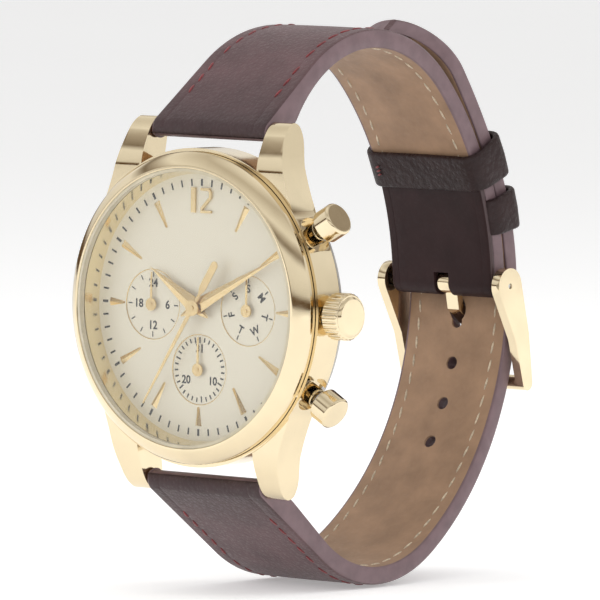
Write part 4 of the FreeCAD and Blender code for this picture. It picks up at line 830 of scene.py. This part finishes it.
def make_flap():
    """The turned-over end: along the wrist side, then round the buckle's bar."""
    pairs = []
    count = 40
    end = SHORT.length - 0.9
    for i in range(count + 1):
        s = mix(FLAP_START - 0.1, end, i / count)
        pairs.append((SHORT.point(s, 0.9, 1), SHORT.point(s, 0.0, 1)))
    turns = 26
    for i in range(turns + 1):
        v = math.radians(mix(176, 372, i / turns))
        visible = (BAR[0] + 1.7 * math.cos(v), BAR[1] + 1.7 * math.sin(v))
        hidden = (BAR[0] + 0.86 * math.cos(v), BAR[1] + 0.86 * math.sin(v))
        pairs.append((hidden, visible))
    rings = []
    for inner, outer in pairs:
        thick = math.dist(inner, outer)
        half = short_half(inner[0]) + 0.02
        points = profile(half, thick, rim=0.3, recess=0.02, seam=1.4, seam_depth=0.03, crown=0.03)
        rings.append(lay(points, inner, outer))
        kinds = [kind for _, _, kind in points]
    bm = bmesh.new()
    loft(bm, rings, kinds)
    piece = add_piece(
        "turned_over_end", bm, ["dark", "dark_edge"], "case", ["strap_fold_flap"]
    )
    slot = bmesh.new()
    tube(slot, [(0, BAR[0] - 4, 0.2), (0, BAR[0] + 4, 0.2)], 1.3, 32)
    low = cutter_object(slot)
    upper = bmesh.new()
    bmesh.ops.create_cube(upper, size=1)
    bmesh.ops.scale(upper, vec=(2.5 * MM, 8 * MM, 2.6 * MM), verts=upper.verts)
    bmesh.ops.translate(upper, vec=row(0, BAR[0], 1.4), verts=upper.verts)
    high = cutter_object(upper)
    cut_with(piece, [low, high])
    bpy.data.objects.remove(low)
    bpy.data.objects.remove(high)


make_short_strap()
make_strap_tail()
make_flap()

# ---------------------------------------------------------------- stitching


def stitch(bm, start, end, radius):
    """One stitch: a bowed, pointed grain of thread between two points."""
    ahead = end - start
    length = ahead.length
    ahead.normalize()
    side = ahead.orthogonal().normalized()
    other = ahead.cross(side)
    rings = []
    steps, sides = 6, 8
    for i in range(steps + 1):
        t = i / steps
        size = radius * (0.25 + 0.75 * math.sin(math.pi * t) ** 0.5)
        middle = start + ahead * (length * t)
        rings.append(
            [
                middle
                + (side * math.cos(2 * math.pi * k / sides) + other * math.sin(2 * math.pi * k / sides))
                * size
                for k in range(sides)
            ]
        )
    loft(bm, rings)


def stitch_row(bm, place, first, last, pitch=2.35, share=0.72, radius=0.2, slant=0.14):
    """Stitches along place(s, aside) -> point, from one arc length to another."""
    count = int((last - first) / pitch)
    for i in range(count):
        s = first + i * pitch
        start = place(s, -slant)
        end = place(s + pitch * share, slant)
        stitch(bm, start, end, radius * MM)


def strap_place(course, side, across, half_of, off):
    """Places stitches a set distance in from one edge of an even stretch of strap."""

    def place(s, aside):
        x, z = course.point(s, off, side)
        half = half_of(*course.at(s)[:2])
        inward = math.copysign(half - abs(across) + aside, across)
        return row(inward, x, z)

    return place


def root_place(near, far, sign, inset, bar_half):
    """Stitches on the padded root's straight outer face."""

    def place(s, aside):
        t = s / math.dist(near, far)
        depth = mix(near[0], far[0], t)
        up = mix(near[1], far[1], t)
        across = sign * (bar_half(depth) - inset + aside)
        return row(across, depth, up)

    return place


def make_outer_stitching():
    """Dark red stitching: up the root's outer face, then over the crest, on both edges."""
    for name, course, side, bar, index, last, half_of, thick in (
        ("short", SHORT, 1, SHORT_LUG_BAR, 0, FLAP_START - 1.0, short_half, STRAP_THICKNESS),
        ("long", LONG, -1, LONG_LUG_BAR, 1, LONG.length - 3.0, long_half, TAIL_THICKNESS),
    ):
        size = course.legs[index][3] + thick
        centre = arc_centre(course, index)
        near, far, _, _, _ = root_lines(bar, course.at(0)[:2], centre, size, side)
        joined = where_opposite(course, far)
        straight = math.dist(near, far)
        bm = bmesh.new()
        for sign in (1, -1):
            root = root_place(near, far, sign, SEAM, lambda d: half_of(d, side * 30))
            stitch_row(bm, root, 5.2, straight + 1.2)
            outer = strap_place(course, side, sign * SEAM, half_of, thick)
            stitch_row(bm, outer, joined + 1.6, last)
        add_piece(f"{name}_strap_outer_stitching", bm, ["red_thread"], "case")


def make_lining_stitching():
    """Cream stitching along both edges of the linings."""
    for name, course, side, last, half_of in (
        ("short", SHORT, 1, FLAP_START - 0.6, short_half),
        ("long", LONG, -1, LONG.length - 5.0, long_half),
    ):
        bm = bmesh.new()
        for sign in (1, -1):
            place = strap_place(course, side, sign * LINING_SEAM, half_of, -0.02)
            stitch_row(bm, place, 2.2, last, 2.5, 0.7, 0.15, 0.1)
        add_piece(f"{name}_strap_lining_stitching", bm, ["cream_thread"], "case")


def make_keeper_stitching():
    """The short row that closes the free keeper, at one end of its wrist side."""
    s = SHORT.legs[0][5] + math.radians(FREE_KEEPER_TURN) * CREST_RADIUS
    bm = bmesh.new()
    for along in (-0.55, 0.05, 0.65):
        start = row(-7.6, *SHORT.point(s + along, -1.2, 1))
        end = row(-6.9, *SHORT.point(s + along - 0.25, -1.24, 1))
        stitch(bm, start, end, 0.16 * MM)
    add_piece("free_keeper_stitching", bm, ["red_thread"], "keeper")


make_outer_stitching()
make_lining_stitching()
make_keeper_stitching()

# ---------------------------------------------------------------- keepers


def rounded_box_line(half, low, high, radius, per_corner=7, per_side=10):
    """Points and outward normals round a rounded rectangle, in (across, off)."""
    line = []
    corners = [
        (half - radius, high - radius, 0),
        (-half + radius, high - radius, 90),
        (-half + radius, low + radius, 180),
        (half - radius, low + radius, 270),
    ]
    for index, (cx, cy, start) in enumerate(corners):
        for step in range(per_corner):
            v = math.radians(start + 90 * step / (per_corner - 1))
            line.append((cx + radius * math.cos(v), cy + radius * math.sin(v), math.cos(v), math.sin(v)))
        nx, ny, begin = corners[(index + 1) % 4]
        v = math.radians(begin)
        a = line[-1]
        b = (nx + radius * math.cos(v), ny + radius * math.sin(v))
        for step in range(1, per_side):
            t = step / per_side
            line.append((mix(a[0], b[0], t), mix(a[1], b[1], t), a[2], a[3]))
    return line


def keeper_section(width, thick):
    """The band's own cross-section: (off from its inside, along the strap), softened."""
    r = 0.34
    points = []
    for cx, cy, start in (
        (thick - r, width / 2 - r, 0),
        (r, width / 2 - r, 90),
        (r, -width / 2 + r, 180),
        (thick - r, -width / 2 + r, 270),
    ):
        for step in range(4):
            v = math.radians(start + 30 * step)
            points.append((cx + r * math.cos(v), cy + r * math.sin(v)))
    points.insert(0, (thick + 0.05, 0.0))
    return points


def make_keeper(name, turn, width, stack, body, whole, replaced):
    """A leather loop round the stacked straps; the sewn one starts at the strap's edges."""
    half = 8.75 + 0.2
    gap = 0.2
    crest = SHORT.legs[0][5]
    middle = crest + math.radians(turn) * CREST_RADIUS
    section = keeper_section(width, 0.86)
    low = -gap if whole else 1.05
    line = rounded_box_line(half, low, stack + gap, 1.5)
    if not whole:
        line = [p for p in line if not (p[1] < 1.06 and abs(p[0]) < half - 0.02)]
        first = min(range(len(line)), key=lambda i: (line[i][0] < 0, line[i][1]))
        line = line[first:] + line[:first]
    rings = []
    for x, off, nx, ny in line:
        ring = []
        sag = 0.14 * math.cos(min(1, abs(x) / half) * math.pi / 2)
        for out, along in section:
            reach = out - (sag if ny < -0.5 else -sag * 0.4 if ny > 0.5 else 0)
            s = middle + along
            depth, up = SHORT.point(s, off + reach * ny, 1)
            ring.append(row(x + reach * nx, depth, up))
        rings.append(ring)
    bm = bmesh.new()
    loft(bm, rings, closed=whole)
    add_piece(name, bm, ["pebbled"], body, replaced)


make_keeper("free_keeper_loop", FREE_KEEPER_TURN, 5.2, 5.75, "keeper", True, ["free_keeper"])
make_keeper("fixed_keeper_loop", FIXED_KEEPER_TURN, 4.8, 6.1, "case", False, ["fixed_keeper"])

# ---------------------------------------------------------------- dial printing

PRINT_HEIGHT = 0.012


def on_dial(across, up, height=PRINT_HEIGHT):
    return Vector((across * MM, (-DIAL_DEPTH - height) * MM, up * MM))


def clock(radius, angle, aside=0.0, centre=(0.0, 0.0)):
    v = math.radians(angle)
    return (
        centre[0] + radius * math.sin(v) + aside * math.cos(v),
        centre[1] + radius * math.cos(v) - aside * math.sin(v),
    )


def print_tick(bm, angle, inner, outer, width, centre=(0.0, 0.0), height=PRINT_HEIGHT):
    """One printed stroke with real thickness."""
    corners = [
        clock(inner, angle, -width / 2, centre),
        clock(inner, angle, width / 2, centre),
        clock(outer, angle, width / 2, centre),
        clock(outer, angle, -width / 2, centre),
    ]
    rings = [[on_dial(*c, h) for c in corners] for h in (height - 0.008, height + 0.006)]
    loft(bm, rings)


def print_text(letters, size, across, up, turn=0.0, height=PRINT_HEIGHT):
    """Generic figures or day letters, returned as a mesh object to be joined."""
    curve = bpy.data.curves.new("figure", "FONT")
    curve.body = letters
    curve.size = size * MM
    curve.align_x = "CENTER"
    curve.align_y = "CENTER"
    curve.extrude = 0.006 * MM
    curve.resolution_u = 4
    curve.offset = 0.045 * MM
    made = bpy.data.objects.new("figure", curve)
    bpy.context.scene.collection.objects.link(made)
    made.matrix_world = (
        Matrix.Translation(on_dial(across, up, height))
        @ Matrix.Rotation(math.radians(90), 4, "X")
        @ Matrix.Rotation(math.radians(-turn), 4, "Z")
    )
    bpy.context.view_layer.update()
    graph = bpy.context.evaluated_depsgraph_get()
    mesh = bpy.data.meshes.new_from_object(made.evaluated_get(graph))
    mesh.transform(made.matrix_world)
    bpy.data.objects.remove(made)
    return mesh


COUNTER_FLOOR = -0.08 + PRINT_HEIGHT


def make_dial_print():
    bm = bmesh.new()
    for minute in range(60):
        print_tick(bm, minute * 6, 16.0, 16.92, 0.26 if minute % 5 else 0.36)
    day_ring = (8.2, 0.0)
    hours_ring = (-8.2, 0.0)
    date_ring = (0.0, -8.2)
    for day in range(31):
        angle = day * 360 / 31
        long_one = day % 5 == 0
        print_tick(bm, angle, 3.5 if long_one else 3.7, 4.3, 0.22, date_ring, COUNTER_FLOOR)
    for hour in range(12):
        print_tick(bm, hour * 30, 3.6, 4.3, 0.17, hours_ring, COUNTER_FLOOR)
    for day in range(7):
        print_tick(bm, day * 360 / 7, 3.65, 4.3, 0.18, day_ring, COUNTER_FLOOR)
    texts = []
    for figure, angle in (("24", 0), ("6", 90), ("12", 180), ("18", 270)):
        spot = clock(2.5 if angle % 180 else 2.8, angle, 0, hours_ring)
        texts.append(print_text(figure, 1.55, *spot, 0, COUNTER_FLOOR))
    for index, letter in enumerate("SMTWTFS"):
        angle = index * 360 / 7
        spot = clock(2.85, angle, 0, day_ring)
        turn = angle if math.cos(math.radians(angle)) > -0.3 else angle + 180
        texts.append(print_text(letter, 1.45, *spot, turn, COUNTER_FLOOR))
    for figure, angle, radius in (("31", 0, 2.75), ("10", 122, 2.7), ("20", 238, 2.7)):
        spot = clock(radius, angle, 0, date_ring)
        texts.append(print_text(figure, 1.5, *spot, 0, COUNTER_FLOOR))
    for mesh in texts:
        bm.from_mesh(mesh)
    add_piece("dial_print", bm, ["print"], "case", smooth=False)


def make_counter_rings():
    """The fine bright line round each small dial."""
    bm = bmesh.new()
    for cx, cy in ((8.2, 0.0), (-8.2, 0.0), (0.0, -8.2)):
        count = 96
        rings = []
        for i in range(count):
            v = 2 * math.pi * i / count
            ring = []
            for r, h in ((4.56, -0.075), (4.58, 0.012), (4.68, 0.016), (4.70, -0.02)):
                ring.append(on_dial(cx + r * math.cos(v), cy + r * math.sin(v), h))
            rings.append(ring)
        loft(bm, rings, closed=True)
    add_piece("counter_rings", bm, ["gold_bright"], "case")


make_dial_print()
make_counter_rings()

# ---------------------------------------------------------------- floor, light and world

FLOOR_UP = CAD_BOX[0][2] - 0.0004


def make_floor():
    bm = bmesh.new()
    bmesh.ops.create_grid(bm, x_segments=2, y_segments=2, size=6)
    bmesh.ops.translate(bm, vec=(0, 0, FLOOR_UP), verts=bm.verts)
    mesh = bpy.data.meshes.new("floor")
    bm.to_mesh(mesh)
    bm.free()
    floor = bpy.data.objects.new("floor", mesh)
    bpy.context.scene.collection.objects.link(floor)
    shade = Shade("floor_white", (0.9, 0.9, 0.9), 0.8)
    shade.set(Emission_Color=(1, 1, 1, 1), Emission_Strength=0.3)
    shade.tint(shade.noise(0.4, 2), 0.99, 1.01)
    mesh.materials.append(shade.material)


def make_light(name, place, target, size, power, glossy=False):
    data = bpy.data.lights.new(name, "AREA")
    data.shape = "RECTANGLE"
    data.size, data.size_y = size
    data.energy = power
    light = bpy.data.objects.new(name, data)
    bpy.context.scene.collection.objects.link(light)
    light.location = place
    light.visible_glossy = glossy
    direction = Vector(target) - Vector(place)
    light.rotation_euler = direction.to_track_quat("-Z", "Y").to_euler()


def world_gradient(tree, stops, strength):
    """A background that changes with height: 0 is straight down, 1 straight up."""
    nodes, links = tree.nodes, tree.links
    place = nodes.new("ShaderNodeTexCoord")
    parts = nodes.new("ShaderNodeSeparateXYZ")
    links.new(place.outputs["Generated"], parts.inputs[0])
    half = nodes.new("ShaderNodeMath")
    half.operation = "MULTIPLY_ADD"
    half.inputs[1].default_value = 0.5
    half.inputs[2].default_value = 0.5
    links.new(parts.outputs["Z"], half.inputs[0])
    ramp = nodes.new("ShaderNodeValToRGB")
    for i, (at, colour) in enumerate(stops):
        elements = ramp.color_ramp.elements
        stop = elements[i] if i < 2 else elements.new(at)
        stop.position = at
        stop.color = (*colour, 1)
    links.new(half.outputs[0], ramp.inputs["Fac"])
    shader = nodes.new("ShaderNodeBackground")
    shader.inputs["Strength"].default_value = strength
    links.new(ramp.outputs["Color"], shader.inputs["Color"])
    return shader


SOFT_ROOM = [(0.0, (0.8, 0.79, 0.78)), (0.5, (0.9, 0.89, 0.88)), (1.0, (1.0, 1.0, 1.0))]
MIRRORED_ROOM = [
    (0.0, (0.85, 0.83, 0.8)),
    (0.44, (0.72, 0.70, 0.66)),
    (0.475, (0.08, 0.045, 0.02)),
    (0.535, (0.14, 0.09, 0.05)),
    (0.565, (0.80, 0.79, 0.77)),
    (0.7, (0.97, 0.97, 0.97)),
    (0.745, (0.2, 0.16, 0.12)),
    (0.775, (0.5, 0.46, 0.42)),
    (0.82, (0.95, 0.95, 0.94)),
    (0.93, (0.6, 0.57, 0.53)),
    (1.0, (0.95, 0.95, 0.95)),
]


def make_world():
    """White to the camera, even to rough surfaces, and a banded studio to mirror in the metal."""
    world = bpy.data.worlds.new("studio")
    bpy.context.scene.world = world
    world.use_nodes = True
    tree = world.node_tree
    nodes, links = tree.nodes, tree.links
    nodes.clear()
    out = nodes.new("ShaderNodeOutputWorld")
    plain = nodes.new("ShaderNodeBackground")
    path = nodes.new("ShaderNodeLightPath")
    plain.inputs["Color"].default_value = (1, 1, 1, 1)
    inner = nodes.new("ShaderNodeMixShader")
    outer = nodes.new("ShaderNodeMixShader")
    links.new(path.outputs["Is Glossy Ray"], inner.inputs["Fac"])
    links.new(world_gradient(tree, SOFT_ROOM, 0.62).outputs[0], inner.inputs[1])
    links.new(world_gradient(tree, MIRRORED_ROOM, 0.95).outputs[0], inner.inputs[2])
    links.new(path.outputs["Is Camera Ray"], outer.inputs["Fac"])
    links.new(inner.outputs[0], outer.inputs[1])
    links.new(plain.outputs[0], outer.inputs[2])
    links.new(outer.outputs[0], out.inputs["Surface"])


make_floor()
make_world()
make_light("key", (-0.35, -0.55, 0.35), (0, 0.02, 0), (0.5, 0.5), 1.5)
make_light("fill", (0.55, -0.35, 0.12), (0, 0.02, 0), (0.3, 0.6), 0.8)
make_light("top", (0.05, 0.05, 0.6), (0, 0.02, 0), (0.7, 0.7), 1.3)
make_light("rear", (0.4, 0.5, 0.3), (0, 0.02, 0), (0.4, 0.4), 0.9)

scene = bpy.context.scene
scene.view_settings.view_transform = "Standard"
scene.view_settings.look = "None"
